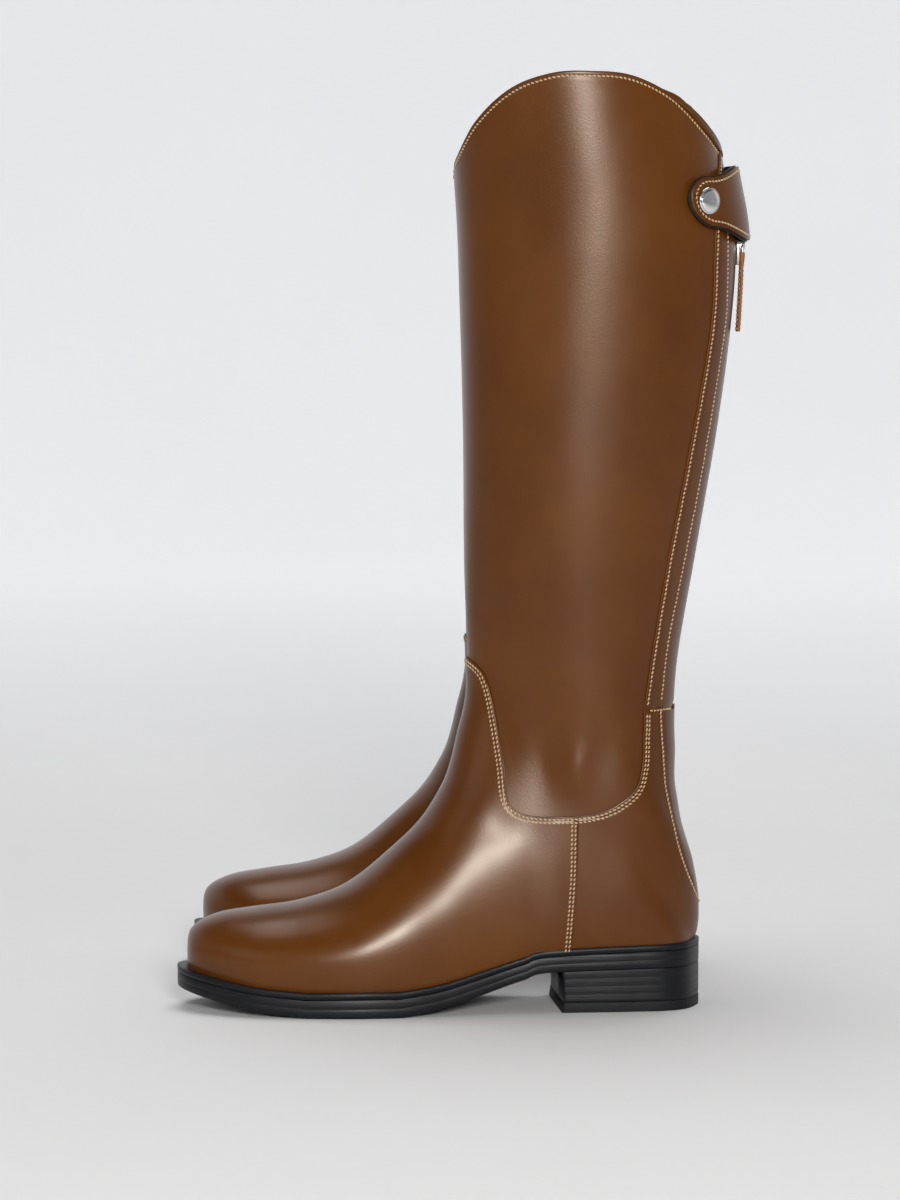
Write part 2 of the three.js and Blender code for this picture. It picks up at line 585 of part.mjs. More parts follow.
const snapStud = turned([[0, 0], [studRadius, 0], [studRadius, 0.7], [studRadius * 0.6, 1],
  [studRadius * 0.6, studTop - GAP], [0, studTop - GAP]], GAP);
const snapCap = turned([[0, 0], [capRadius - 0.8, 0], [capRadius, 0.8], [capRadius * 0.86, 1.8],
  [capRadius * 0.5, 2.6], [0, 2.9]], capFoot);

// ---------------------------------------------------------------- the boot and the pair
const pieces = [
  ['outsole', outsole, soleBlack],
  ['welt', welt, soleBlack],
  ['heel_block', heelBlock, soleBlack],
  ['heel_top_piece', heelTopPiece, soleBlack],
  ['cork_filler', corkFiller, cork],
  ['shank', shank, steel],
  ['insole_board', insoleBoard, boardTan],
  ['sock_liner', sockLiner, liningLeather],
  ['lining', lining, liningLeather],
  ['toe_puff', toePuff, stiffener],
  ['heel_counter', heelCounter, stiffener],
  ['vamp', vamp, leather],
  ['quarter_lateral', quarter(GAP / 2, FAR), leather],
  ['quarter_medial', quarter(-FAR, -GAP / 2), leather],
  ['back_stay', backStay, leather],
  ['shaft_panel', shaftPanel, leather],
  ['placket_lateral', placket(1), leather],
  ['placket_medial', placket(-1), leather],
  ['zip_tape_lateral', tapeLateral, tapeCloth],
  ['zip_tape_medial', tapeMedial, tapeCloth],
  ['zip_teeth', zipTeeth, silver],
  ['zip_guard', zipGuard, liningLeather],
  ['zip_slider', zipSlider, silver],
  ['zip_pull', zipPull, silver],
  ['zip_pull_tab', zipPullTab, tabLeather],
  ['strap', strap, leather],
  ['strap_lining', strapLining, backing],
  ['snap_cap', snapCap, silver],
  ['snap_stud', snapStud, silver],
];

function boot(side) {
  const group = new THREE.Group();
  for (const [name, shape, material] of pieces) {
    const geometry = shape.isBufferGeometry ? shape : geometryOf(shape);
    const mesh = new THREE.Mesh(geometry, material);
    mesh.name = `${side}_${name}`;
    group.add(mesh);
  }
  group.position.x = BOOT_SPACING / 2;
  group.rotation.z = THREE.MathUtils.degToRad(TOE_OUT);
  return group;
}

const rightSide = new THREE.Group().add(boot('right'));
rightSide.scale.x = -1;
const pair = new THREE.Group().add(boot('left'), rightSide);
const bounds = new THREE.Box3().setFromObject(pair, true);
pair.position.y = -(bounds.min.y + bounds.max.y) / 2;

export default pair;
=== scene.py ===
# %% [markdown]
# # A pair of riding boots
# A riding boot is made from flat leather pieces. They are pulled over a wooden last, sewn
# together, and fixed to a welted sole. This lesson works in the same order: first the frame
# with its moving bodies, then a smooth last, then every leather piece laid on that last,
# and at the end the sole, the zip, the strap, the stitches, the light and the camera.

# %% The frame
import json
import math

import bmesh
import bpy
import numpy as np
from mathutils import Matrix, Vector


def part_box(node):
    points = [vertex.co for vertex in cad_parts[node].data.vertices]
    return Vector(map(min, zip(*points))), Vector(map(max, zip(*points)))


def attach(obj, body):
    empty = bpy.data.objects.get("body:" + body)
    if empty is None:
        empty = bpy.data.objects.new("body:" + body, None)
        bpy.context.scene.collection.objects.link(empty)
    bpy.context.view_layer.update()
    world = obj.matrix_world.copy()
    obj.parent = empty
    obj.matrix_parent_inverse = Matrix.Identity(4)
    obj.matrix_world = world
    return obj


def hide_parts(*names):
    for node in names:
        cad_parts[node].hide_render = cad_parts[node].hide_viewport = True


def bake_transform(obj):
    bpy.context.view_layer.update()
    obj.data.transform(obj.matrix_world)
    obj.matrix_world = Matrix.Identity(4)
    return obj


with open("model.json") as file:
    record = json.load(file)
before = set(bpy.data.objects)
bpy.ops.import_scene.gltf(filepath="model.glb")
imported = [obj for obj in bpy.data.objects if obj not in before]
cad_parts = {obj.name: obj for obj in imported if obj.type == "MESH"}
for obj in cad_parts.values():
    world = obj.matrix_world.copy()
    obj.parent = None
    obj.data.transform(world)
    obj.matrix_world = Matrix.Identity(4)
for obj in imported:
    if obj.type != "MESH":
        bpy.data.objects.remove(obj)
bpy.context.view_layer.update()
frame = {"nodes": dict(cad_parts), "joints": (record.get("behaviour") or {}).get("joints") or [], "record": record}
mounts = {m["name"]: Vector(m["pos_m"]) for m in frame["record"]["mounts"]}
joints = {j["name"]: j for j in frame["joints"]}


# %% [markdown]
# ## Where a boot stands
# Each boot is modelled once, in millimetres, in a frame of its own: toe towards -Y, outer
# side towards +X, standing on z = 0. The two flat faces under heel and tread say where the
# left boot stands in the row frame and how far its toe turns out. The right boot is the
# mirror image, so the finished mesh is copied with X turned round.

# %% Placing a boot
MM = 0.001
HEEL_REST = Vector((1, 105, 0))         # the two resting points in the boot's own frame
TREAD_REST = Vector((0, -45, 0))
own = HEEL_REST - TREAD_REST
placed = mounts["left_heel_rest"] - mounts["left_tread_rest"]
toe_out = math.atan2(placed.y, placed.x) - math.atan2(own.y, own.x)
to_row = Matrix.Rotation(toe_out, 4, "Z") @ Matrix.Scale(MM, 4)
to_row = Matrix.Translation(mounts["left_heel_rest"] - to_row @ HEEL_REST) @ to_row
print("toe out", round(math.degrees(toe_out), 2), "degrees")
SIDES = ("left", "right")
made = []


def publish(name, mesh_maker, body, materials, stands_for=(), finish=None, bend=None):
    """Makes the left and right copy of a piece that mesh_maker draws in the boot's frame.

    bend, when given, only bakes the piece into place, off its body; the two places in it are not used."""
    bm = mesh_maker()
    bmesh.ops.remove_doubles(bm, verts=bm.verts, dist=0.002)
    bmesh.ops.transform(bm, matrix=to_row, verts=bm.verts)
    for side in SIDES:
        mesh = bpy.data.meshes.new(f"{side}_{name}_look")
        if side == "right":
            mirror = Matrix.Scale(-1, 4, (1, 0, 0))
            bmesh.ops.transform(bm, matrix=mirror, verts=bm.verts)
            bmesh.ops.reverse_faces(bm, faces=bm.faces)
        bm.to_mesh(mesh)
        mesh.shade_smooth()
        for material in materials:
            mesh.materials.append(material)
        piece = bpy.data.objects.new(f"{side}_{name}_look", mesh)
        bpy.context.scene.collection.objects.link(piece)
        if bend:
            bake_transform(piece)
        else:
            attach(piece, f"{side}_{body}")
        if stands_for:
            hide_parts(*[f"{side}_{node}" for node in stands_for])
        if finish:
            finish(piece)
        made.append(piece)
    bm.free()
    print(name, len(mesh.polygons), "faces")


# %% [markdown]
# ## The last
# A shoemaker's last is drawn as a fan of sections. Each section stands on a point of the
# sole or of the back line and reaches to a point of the front line, and it is a soft egg
# shape between them. A smooth curve through the rows of this table gives every section in
# between, so the leather can be as fine as it needs to be. The last could be sculpted as one
# mesh and cut apart instead, but then a change to it would not reach the pieces.

# %% Side-view lines of the sole
def catmull(points, t):
    """A smooth curve through the rows of points, at positions t from 0 to the last row."""
    points = np.asarray(points, float)
    t = np.clip(np.asarray(t, float), 0, len(points) - 1 - 1e-9)
    i = np.floor(t).astype(int)
    f = (t - i)[..., None]
    a, b, c, d = (points[np.clip(i + k, 0, len(points) - 1)] for k in (-1, 0, 1, 2))
    return 0.5 * (2 * b + (c - a) * f + (2 * a - 5 * b + 4 * c - d) * f**2
                  + (3 * b - a - 3 * c + d) * f**3)


def smooth_line(points, steps):
    return catmull(points, np.linspace(0, len(points) - 1, steps + 1))


HEEL_HEIGHT = 21.7                      # underside of the outsole at the heel
TREAD = np.vstack([
    smooth_line([(-146, 13.6), (-125, 8.4), (-98, 3), (-72, 0)], 24),
    smooth_line([(-22, 0), (0, 4), (22, HEEL_HEIGHT / 2), (43, HEEL_HEIGHT - 4),
                 (61, HEEL_HEIGHT), (146, HEEL_HEIGHT + 1.6)], 40)])
EDGE = smooth_line([(-146, -1.4), (-100, 0.6), (-30, 1.8), (43, 0), (100, 0.4), (146, 0.9)], 40)
SOLE_EDGE = 12
WELT = 3.4


def tread_at(y):
    return np.interp(y, TREAD[:, 0], TREAD[:, 1])


def welt_top_at(y):
    return tread_at(y) + SOLE_EDGE + np.interp(y, EDGE[:, 0], EDGE[:, 1])


print("sole", round(TREAD[-1, 0] - TREAD[0, 0]), "mm long, edge", SOLE_EDGE, "mm")


# %% The table of sections
ON_SOLE = -1.0
# back y, back z, front y, front z, half-width at the foot, greatest half-width, where it
# lies between back and front, sideways shift
LAST = np.array([
    (-133.2, ON_SOLE, -133.3, 32, 36.5, 37.5, 0.42, -6.5),
    (-128, ON_SOLE, -131, 41.5, 36.5, 37.5, 0.42, -6.3),
    (-115, ON_SOLE, -118, 48.3, 37.5, 38.5, 0.4, -5.4),
    (-95, ON_SOLE, -98, 51.8, 41, 42.5, 0.38, -3),
    (-70, ON_SOLE, -74, 55.6, 43.6, 46, 0.36, -0.5),
    (-45, ON_SOLE, -49, 64.8, 44, 46.6, 0.33, 1.5),
    (-20, ON_SOLE, -25, 84, 40.5, 44, 0.3, 2.8),
    (5, ON_SOLE, -7, 102.5, 35.5, 40.5, 0.28, 3),
    (35, ON_SOLE, 5, 126, 30.5, 37, 0.28, 2.4),
    (70, ON_SOLE, 12.5, 152, 29, 35, 0.3, 1.2),
    (100, ON_SOLE, 15, 172, 28, 34, 0.36, 0.4),
    (123, ON_SOLE, 15, 188, 24, 34, 0.42, 0),
    (135.2, 35, 14.6, 202, 8, 34.6, 0.46, 0),
    (138.2, 52, 14.1, 216, 0, 35.6, 0.48, 0),
    (134.8, 76, 13.8, 232, 0, 37, 0.5, 0),
    (127.3, 102, 13.6, 250, 0, 38.6, 0.5, 0),
    (124.2, 135, 13.5, 270, 0, 40.6, 0.5, 0),
    (125.8, 182, 13.2, 300, 0, 44.5, 0.5, 0),
    (135.4, 240, 12.4, 336, 0, 48.6, 0.5, 0),
    (147, 308, 11.2, 376, 0, 51.4, 0.5, 0),
    (154.4, 365, 10, 412, 0, 52.6, 0.5, 0),
    (156.4, 408, 8.3, 440, 0, 53, 0.5, 0),
    (150, 447, 6.8, 462, 0, 53.4, 0.5, 0),
    (140, 504, 4, 506, 0, 54, 0.5, 0),
])
FEATHER_DROP = 3
on_sole = LAST[:, 1] == ON_SOLE
LAST[on_sole, 1] = welt_top_at(LAST[on_sole, 0]) - FEATHER_DROP
TOE_START = -95
TOE_ROUND = 38.2
TURN = 3 / 7                            # where a section's lower curve meets its upper one
ROUND = 0.5523                          # handle of a quarter ellipse
HEEL_TIP = 12                           # first section that stands on the back line
HEEL_CLOSING = 0.75                     # sections over which the two sides meet at the heel
HEEL_S = float(HEEL_TIP)                # where the foot of the heel ends
TOE_S = 0.02                            # where the leather starts, just off the tip of the toe
print(len(LAST), "sections, the first", HEEL_TIP, "on the sole")


# %% [markdown]
# ## A point on the last
# Every point is named by two numbers: the station s along the fan, and c round the section.
# c is 0 at the sole or back, 1 on the front ridge and 2 at the back again on the inner
# side; a small negative c is the inner side too. Working in arrays keeps this quick.

# %% The skin of the last
def bezier(p0, p1, p2, p3, t):
    r = 1 - t
    return r**3 * p0 + 3 * r * r * t * p1 + 3 * r * t * t * p2 + t**3 * p3


def skin(s, c):
    """Points on the last, from stations s and places c round each section."""
    s, c = np.broadcast_arrays(np.asarray(s, float), np.asarray(c, float))
    side = np.where((c < 0) | (c > 1), -1.0, 1.0)
    c = np.where(c < 0, -c, np.where(c > 1, 2 - c, c))
    by, bz, fy, fz, foot, wide, share, shift = np.moveaxis(catmull(LAST, s), -1, 0)
    toe = np.sqrt(np.clip(1 - (np.clip(TOE_START - by, 0, None) / TOE_ROUND) ** 2, 0, 1))
    foot, wide = np.maximum(foot, 0) * toe, wide * toe
    closing = np.clip((s - HEEL_TIP) / HEEL_CLOSING + 1, 0, 1)
    edge = foot * np.sqrt(1 - closing**2)
    low = np.clip(c / TURN, 0, 1)
    high = np.clip((c - TURN) / (1 - TURN), 0, 1)
    below = c <= TURN
    up = np.where(below, bezier(0, 0, share * (1 - ROUND), share, low),
                  bezier(share, share + (1 - share) * ROUND, 1, 1, high))
    out = np.where(below, bezier(edge, foot + (wide - foot) * ROUND, wide, wide, low),
                   bezier(wide, wide, wide * ROUND, 0, high))
    return np.stack([shift * toe + side * out, by + (fy - by) * up, bz + (fz - bz) * up], -1)


def normal_at(s, c):
    """The outward direction there, from two short steps on the skin."""
    ds, dc = 0.004, 0.002
    c = np.asarray(c, float)
    s = np.maximum(np.asarray(s, float), 0.01)
    along = skin(s + ds, c) - skin(s - ds, c)
    ahead = np.where(c <= 2, np.minimum(c + dc, 2), c + dc)
    behind = np.where(c >= 0, np.maximum(c - dc, 0), c - dc)
    around = skin(s, ahead) - skin(s, behind)
    n = np.cross(along, around)
    return n / np.maximum(np.linalg.norm(n, axis=-1, keepdims=True), 1e-12)


print("half-width of the heel", round(float(skin(HEEL_TIP - 1, 0)[0]), 1), "mm")


# %% From a side view to the last
def locate(points):
    """The s and c of points given in the side view, outer side."""
    points = np.asarray(points, float)
    s_fine = np.linspace(0, len(LAST) - 1, 2301)
    by, bz, fy, fz = np.moveaxis(catmull(LAST, s_fine), -1, 0)[:4]
    found = []
    for y, z in points:
        cross = (fy - by) * (z - bz) - (fz - bz) * (y - by)
        flips = np.nonzero(np.diff(np.sign(cross)))[0]
        reach = ((y - by) * (fy - by) + (z - bz) * (fz - bz)) / ((fy - by) ** 2 + (fz - bz) ** 2)
        miss = np.abs(np.clip(reach[flips], 0, 1) - reach[flips]) if len(flips) else []
        i = flips[int(np.argmin(miss))] if len(flips) else int(np.argmin(np.abs(cross)))
        step = cross[i] / (cross[i] - cross[i + 1]) if len(flips) else 0
        s = s_fine[i] + step * (s_fine[1] - s_fine[0])
        share = catmull(LAST, s)[6]
        u = float(np.clip(reach[i], 0, 1))
        c_fine = np.linspace(0, 1, 601)
        low, high = np.clip(c_fine / TURN, 0, 1), np.clip((c_fine - TURN) / (1 - TURN), 0, 1)
        ups = np.where(c_fine <= TURN, bezier(0, 0, share * (1 - ROUND), share, low),
                       bezier(share, share + (1 - share) * ROUND, 1, 1, high))
        found.append((s, float(np.interp(u, ups, c_fine))))
    return np.array(found)


def back_line(x, heights):
    """The s and c of a line at distance x from the middle of the back, at these heights."""
    s_fine = np.linspace(HEEL_TIP + 1, len(LAST) - 1, 900)
    rows = catmull(LAST, s_fine)
    s = np.interp(heights, rows[:, 1], s_fine)
    wide = catmull(LAST, s)[:, 5]
    return np.stack([s, TURN * x / (3 * ROUND * wide)], -1)


# %% [markdown]
# ## The seams
# These are the lines that the pattern cutter draws in the side view: the U where vamp and
# quarters end over the shaft, the side seam, the edge of the strip beside the zip, the
# stay down the back, and the arched top line, which is lower on the inner side.

# %% Seam lines
U_FRONT = smooth_line([(14.6, 187), (15.7, 186), (20.7, 182), (24.4, 176), (28.6, 160),
                       (32.6, 134), (35, 113), (41, 106.5), (52, 104.3), (72, 104.4)], 72)
U_REAR = smooth_line([(72, 104.4), (84, 106.6), (95, 112), (103, 119.5), (106, 131),
                      (106.5, 145), (107, 161)], 48)
SIDE_SEAM = smooth_line([(72, 104.4), (71, 70), (68, 30)], 24)
PLACKET_EDGE = smooth_line([(107, 161), (110.6, 186), (119.8, 242), (131, 300), (141.4, 360),
                            (143.4, 400), (144.6, 425), (148, 457)], 100)
STAY_EDGE = smooth_line([(116, 161), (118, 130), (121.4, 106), (128.4, 80), (139, 54)], 48)
CROSS_SEAM = 161
TOP_OUTER = smooth_line([(6.4, 445), (16.4, 468), (34.5, 486), (56, 494), (76, 495), (98, 493),
                         (120, 483), (138, 466), (150, 452)], 90)
TOP_INNER = smooth_line([(6.4, 445), (18, 456), (40, 467), (76, 471), (110, 468), (134, 459),
                         (150, 452)], 90)
print("top line from", TOP_OUTER[:, 1].min(), "to", TOP_OUTER[:, 1].max(), "mm")


# %% [markdown]
# ## Materials
# Box calf is smooth: its colour drifts a little, its grain is very fine, and the shine comes
# from a thin polish over a rougher skin. The patterns read object coordinates, in metres,
# so a grain of half a millimetre needs a scale near two thousand. The number named "edge"
# is stored on the leather's points and darkens it where it is burnished beside a seam.

# %% Node helpers
def new_material(name, color, roughness, metallic=0.0):
    material = bpy.data.materials.new(name)
    material.use_nodes = True
    shader = material.node_tree.nodes["Principled BSDF"]
    shader.inputs["Base Color"].default_value = (*color, 1)
    shader.inputs["Roughness"].default_value = roughness
    shader.inputs["Metallic"].default_value = metallic
    return material, shader


def node(material, kind, inputs=None, **settings):
    made_node = material.node_tree.nodes.new("ShaderNode" + kind)
    for key, value in settings.items():
        setattr(made_node, key, value)
    for key, value in (inputs or {}).items():
        if isinstance(value, bpy.types.NodeSocket):
            material.node_tree.links.new(value, made_node.inputs[key])
        else:
            made_node.inputs[key].default_value = value
    return made_node


def link(material, output, socket):
    material.node_tree.links.new(output, socket)


def object_coords(material, stretch=(1, 1, 1)):
    place = node(material, "TexCoord").outputs["Object"]
    return node(material, "Mapping", {"Vector": place, "Scale": stretch}).outputs["Vector"]


def add_bump(material, shader, height, strength, distance):
    bump = node(material, "Bump", {"Height": height, "Strength": strength,
                                   "Distance": distance})
    link(material, bump.outputs["Normal"], shader.inputs["Normal"])


# %% Leather
BURNT = 0.55                            # how much darker a burnished or inner fibre is


def smooth_leather(name, tone, dark, light, roughness=(0.36, 0.5), grain=0.22):
    """Leather that drifts from dark to light, with fine pores and an uneven polish."""
    material, shader = new_material(name, tone, roughness[0])
    place = object_coords(material)
    cloud = node(material, "TexNoise", {"Vector": place, "Scale": 14.0, "Detail": 4.0,
                                        "Roughness": 0.55})
    ramp = node(material, "ValToRGB", {"Fac": cloud.outputs["Fac"]})
    ramp.color_ramp.elements[0].position = 0.3
    ramp.color_ramp.elements[0].color = (*dark, 1)
    ramp.color_ramp.elements[1].position = 0.72
    ramp.color_ramp.elements[1].color = (*light, 1)
    edge = node(material, "Attribute", attribute_name="edge")
    burnish = node(material, "Mix", {"Factor": edge.outputs["Fac"], "A": ramp.outputs["Color"],
                                     "B": (*[v * BURNT for v in dark], 1)}, data_type="RGBA")
    link(material, burnish.outputs["Result"], shader.inputs["Base Color"])
    pores = node(material, "TexVoronoi", {"Vector": place, "Scale": 1500.0})
    fine = node(material, "TexNoise", {"Vector": place, "Scale": 700.0, "Detail": 3.0})
    soft = node(material, "TexNoise", {"Vector": place, "Scale": 55.0, "Detail": 2.0})
    height = node(material, "Math", {0: pores.outputs["Distance"], 1: fine.outputs["Fac"]},
                  operation="ADD")
    add_bump(material, shader, height.outputs["Value"], grain, 0.00012)
    polish = node(material, "MapRange", {"Value": soft.outputs["Fac"], "To Min": roughness[0],
                                         "To Max": roughness[1]})
    link(material, polish.outputs["Result"], shader.inputs["Roughness"])
    shader.inputs["Specular IOR Level"].default_value = 0.3
    shader.inputs["Specular Tint"].default_value = (1, 0.86, 0.72, 1)
    shader.inputs["Coat Weight"].default_value = 0.12
    shader.inputs["Coat Roughness"].default_value = 0.22
    return material


def cut_edge(name, color):
    """The raw edge of a piece: fibres in thin layers, a little rough."""
    material, shader = new_material(name, color, 0.7)
    fibres = node(material, "TexNoise", {"Vector": object_coords(material, (400, 400, 3000)),
                                         "Scale": 1.0, "Detail": 3.0})
    mix = node(material, "Mix", {"Factor": fibres.outputs["Fac"],
                                 "A": (*[v * BURNT for v in color], 1),
                                 "B": (*color, 1)}, data_type="RGBA")
    link(material, mix.outputs["Result"], shader.inputs["Base Color"])
    add_bump(material, shader, fibres.outputs["Fac"], 0.3, 0.0002)
    return material


BROWN = smooth_leather("brown_calf", (0.094, 0.0275, 0.0028), (0.08, 0.0225, 0.002),
                       (0.108, 0.0335, 0.0038), (0.25, 0.36))
# Cut edges: the raw leather's own lighter tone, raised further as a painted highlight along the edges.
CUT_EDGE_AND_HIGHLIGHT = cut_edge("brown_calf_cut_edge_and_painted_highlight", (0.36, 0.14, 0.045))
TAN = smooth_leather("tan_tab", (0.25, 0.09, 0.03), (0.21, 0.074, 0.023), (0.29, 0.11, 0.038))
LINING_SKIN = smooth_leather("lining_leather", (0.35, 0.2, 0.1), (0.3, 0.165, 0.08),
                             (0.4, 0.24, 0.125), (0.62, 0.78), 0.35)
BACKING = smooth_leather("black_backing", (0.012, 0.01, 0.009), (0.009, 0.008, 0.007),
                         (0.017, 0.014, 0.012), (0.5, 0.65), 0.4)


# %% [markdown]
# ## Thread
# Waxed thread is twisted, so its colour and its surface run in fine bands. An image could show
# them, but every stitch would need a UV map. A wave texture on object coordinates is enough.

# %% Thread
def thread_material():
    """Two tones of waxed thread in the bands of its twist."""
    material, shader = new_material("waxed_thread", (0.42, 0.27, 0.13), 0.6)
    twist = node(material, "TexWave", {"Vector": object_coords(material),
                                       "Scale": 900.0, "Distortion": 1.5})
    mix = node(material, "Mix", {"Factor": twist.outputs["Fac"], "A": (0.42, 0.27, 0.13, 1),
                                 "B": (0.64, 0.45, 0.25, 1)}, data_type="RGBA")
    link(material, mix.outputs["Result"], shader.inputs["Base Color"])
    add_bump(material, shader, twist.outputs["Fac"], 0.5, 0.0002)
    shader.inputs["Sheen Weight"].default_value = 0.3
    return material


# %% [markdown]
# ## Sole, metal, cloth and felt
# A spinning cutter trims the edge of a leather sole and leaves level marks, so a noise pressed
# flat in Z drives its bump and its roughness. Metal shows mostly what it reflects, so a fine
# drift in roughness will do. A plain weave is two sets of waves multiplied, and cork, board
# and felt are grains of two tones, which a Voronoi pattern gives.

# %% Sole and metal
def sole_material(name, color, roughness, streak):
    """Dyed sole edge: trimmed by a spinning cutter, so its marks run level."""
    material, shader = new_material(name, color, roughness)
    levels = node(material, "TexNoise", {"Vector": object_coords(material, (9, 9, 1500)),
                                         "Scale": 1.0, "Detail": 4.0})
    scuff = node(material, "TexNoise", {"Vector": object_coords(material), "Scale": 90.0,
                                        "Detail": 5.0})
    mix = node(material, "Mix", {"Factor": scuff.outputs["Fac"], "A": (*color, 1),
                                 "B": (*[v * 2 + 0.002 for v in color], 1)}, data_type="RGBA")
    link(material, mix.outputs["Result"], shader.inputs["Base Color"])
    shader.inputs["Specular IOR Level"].default_value = 0.25
    rough = node(material, "MapRange", {"Value": levels.outputs["Fac"],
                                        "To Min": roughness - 0.1, "To Max": roughness + 0.14})
    link(material, rough.outputs["Result"], shader.inputs["Roughness"])
    add_bump(material, shader, levels.outputs["Fac"], streak, 0.0004)
    return material


def metal_material(name, color, roughness, scratch):
    """Plated metal whose roughness drifts by scratch."""
    material, shader = new_material(name, color, roughness, 1.0)
    wear = node(material, "TexNoise", {"Vector": object_coords(material), "Scale": 400.0,
                                       "Detail": 4.0})
    rough = node(material, "MapRange", {"Value": wear.outputs["Fac"], "To Min": roughness,
                                        "To Max": roughness + scratch})
    link(material, rough.outputs["Result"], shader.inputs["Roughness"])
    return material


# %% Cloth and pressed fillings
def woven_material(name, color, dark, count):
    """A plain weave of two thread tones."""
    material, shader = new_material(name, color, 0.85)
    place = object_coords(material)
    across = node(material, "TexWave", {"Vector": place, "Scale": count}, bands_direction="X")
    along = node(material, "TexWave", {"Vector": place, "Scale": count}, bands_direction="Z")
    weave = node(material, "Math", {0: across.outputs["Fac"], 1: along.outputs["Fac"]},
                 operation="MULTIPLY")
    mix = node(material, "Mix", {"Factor": weave.outputs["Value"], "A": (*dark, 1),
                                 "B": (*color, 1)}, data_type="RGBA")
    link(material, mix.outputs["Result"], shader.inputs["Base Color"])
    add_bump(material, shader, weave.outputs["Value"], 0.6, 0.0003)
    shader.inputs["Sheen Weight"].default_value = 0.2
    return material


def pressed_material(name, light, dark, size):
    """Cork, board and felt: grains of two tones pressed together."""
    material, shader = new_material(name, light, 0.9)
    grains = node(material, "TexVoronoi", {"Vector": object_coords(material), "Scale": size})
    mix = node(material, "Mix", {"Factor": grains.outputs["Distance"], "A": (*dark, 1),
                                 "B": (*light, 1)}, data_type="RGBA")
    link(material, mix.outputs["Result"], shader.inputs["Base Color"])
    add_bump(material, shader, grains.outputs["Distance"], 0.4, 0.0005)
    return material


# %% The other finishes
THREAD = thread_material()
SOLE = sole_material("black_sole_leather", (0.0022, 0.0026, 0.0036), 0.4, 0.3)
RUBBER = sole_material("black_rubber", (0.0026, 0.003, 0.0038), 0.6, 0.25)
SILVER = metal_material("polished_silver", (0.86, 0.86, 0.87), 0.06, 0.1)
NICKEL = metal_material("nickel_zip", (0.62, 0.6, 0.57), 0.22, 0.2)
STEEL = metal_material("spring_steel", (0.32, 0.33, 0.35), 0.35, 0.2)
TAPE_CLOTH = woven_material("zip_tape", (0.06, 0.028, 0.012), (0.025, 0.012, 0.006), 900.0)
CORK = pressed_material("cork", (0.42, 0.24, 0.11), (0.2, 0.1, 0.045), 420.0)
BOARD = pressed_material("insole_board", (0.42, 0.3, 0.17), (0.3, 0.2, 0.11), 900.0)
FELT = pressed_material("stiffener", (0.55, 0.47, 0.33), (0.4, 0.33, 0.22), 1100.0)
print(len(bpy.data.materials), "materials")


# %% [markdown]
# ## A leather piece
# A piece has four sides, and each side is a line on the last. A grid is created, and every
# point of it is blended between the four sides and lifted off the last. The grid is finer
# near the sides, so that a sewn row can press a real groove into the leather. A Solidify
# modifier then gives the leather its thickness, with the cut edge in its own material, and
# a small Bevel rounds that edge.

# %% Folds and grooves
NEAR_EDGE = (0, 0.5, 1.0, 1.5, 2.0, 2.6, 3.2, 3.8, 4.6, 6.0)    # mm from a sewn side
GROOVE, GROOVE_HALF = 0.2, 0.5          # depth and half-width of the groove under a row
EDGE_DROP = 0.25                        # how far the very edge is hammered down
ROW_ONE, ROW_TWO = 1.5, 3.3             # sewn rows, mm from the edge
BURNISH, BURNISH_REACH = 0.4, 1.4       # how dark a sewn edge is, and how far in
FAR_FROM_SEAM = 1e3


def relief(points):
    """Soft folds and hollows of worn-in leather, mm, from places in the boot's frame."""
    folds = [  # centre, reach along x, y, z, height
        ((38, 70, 129), (30, 8, 13), 2.0), ((38, 55, 138), (30, 8, 16), -1.1),
        ((38, 84, 138), (30, 8, 16), -1.1), ((34, 98, 66), (30, 13, 16), 0.7),
        ((-36, 64, 134), (30, 9, 18), 0.8), ((-36, 82, 126), (30, 9, 20), -0.9),
        ((30, 30, 100), (40, 12, 12), -0.7), ((0, 10, 120), (40, 14, 9), -0.9),
        ((0, 12, 146), (40, 16, 9), 0.6), ((0, 14, 168), (40, 18, 8), -0.5),
        ((45, 60, 250), (40, 30, 60), 0.6), ((-45, 66, 300), (40, 34, 70), -0.5),
        ((45, 90, 350), (40, 26, 60), -0.5), ((0, 118, 120), (26, 12, 7), -0.7),
        ((0, 120, 138), (26, 12, 7), 0.5)]
    total = np.zeros(points.shape[:-1])
    for centre, reach, height in folds:
        away = (points - np.array(centre)) / np.array(reach)
        total += height * np.exp(-np.sum(away**2, -1))
    return total


def laid(s, c, offset):
    """Points that lie this far off the last, with the folds and hollows added."""
    base = skin(s, c)
    return base + normal_at(s, c) * (np.asarray(offset, float) + relief(base))[..., None]


# %% Lines of real length
def by_length(line, shares):
    """Points of an (s, c) line at these shares of its real length."""
    line = np.asarray(line, float)
    steps = np.linalg.norm(np.diff(skin(line[:, 0], line[:, 1]), axis=0), axis=1)
    length = np.concatenate([[0], np.cumsum(steps)])
    wanted = np.asarray(shares) * length[-1]
    return np.stack([np.interp(wanted, length, line[:, k]) for k in (0, 1)], -1)


def length_of(line):
    """The length in mm of an (s, c) line on the last."""
    return float(np.sum(np.linalg.norm(np.diff(skin(line[:, 0], line[:, 1]), axis=0), axis=1)))


def spread(length, step, low_edge, high_edge):
    """Shares from 0 to 1: fine rows near the sides that ask for them, even ones between."""
    low = [d for d in NEAR_EDGE if d < length / 3] if low_edge else [0]
    high = [d for d in NEAR_EDGE if d < length / 3] if high_edge else [0]
    count = max(3, round((length - low[-1] - high[-1]) / step) + 1)
    even = np.linspace(low[-1], length - high[-1], count)
    rows = np.concatenate([low[:-1], even, [length - d for d in reversed(high[:-1])]])
    return rows / length


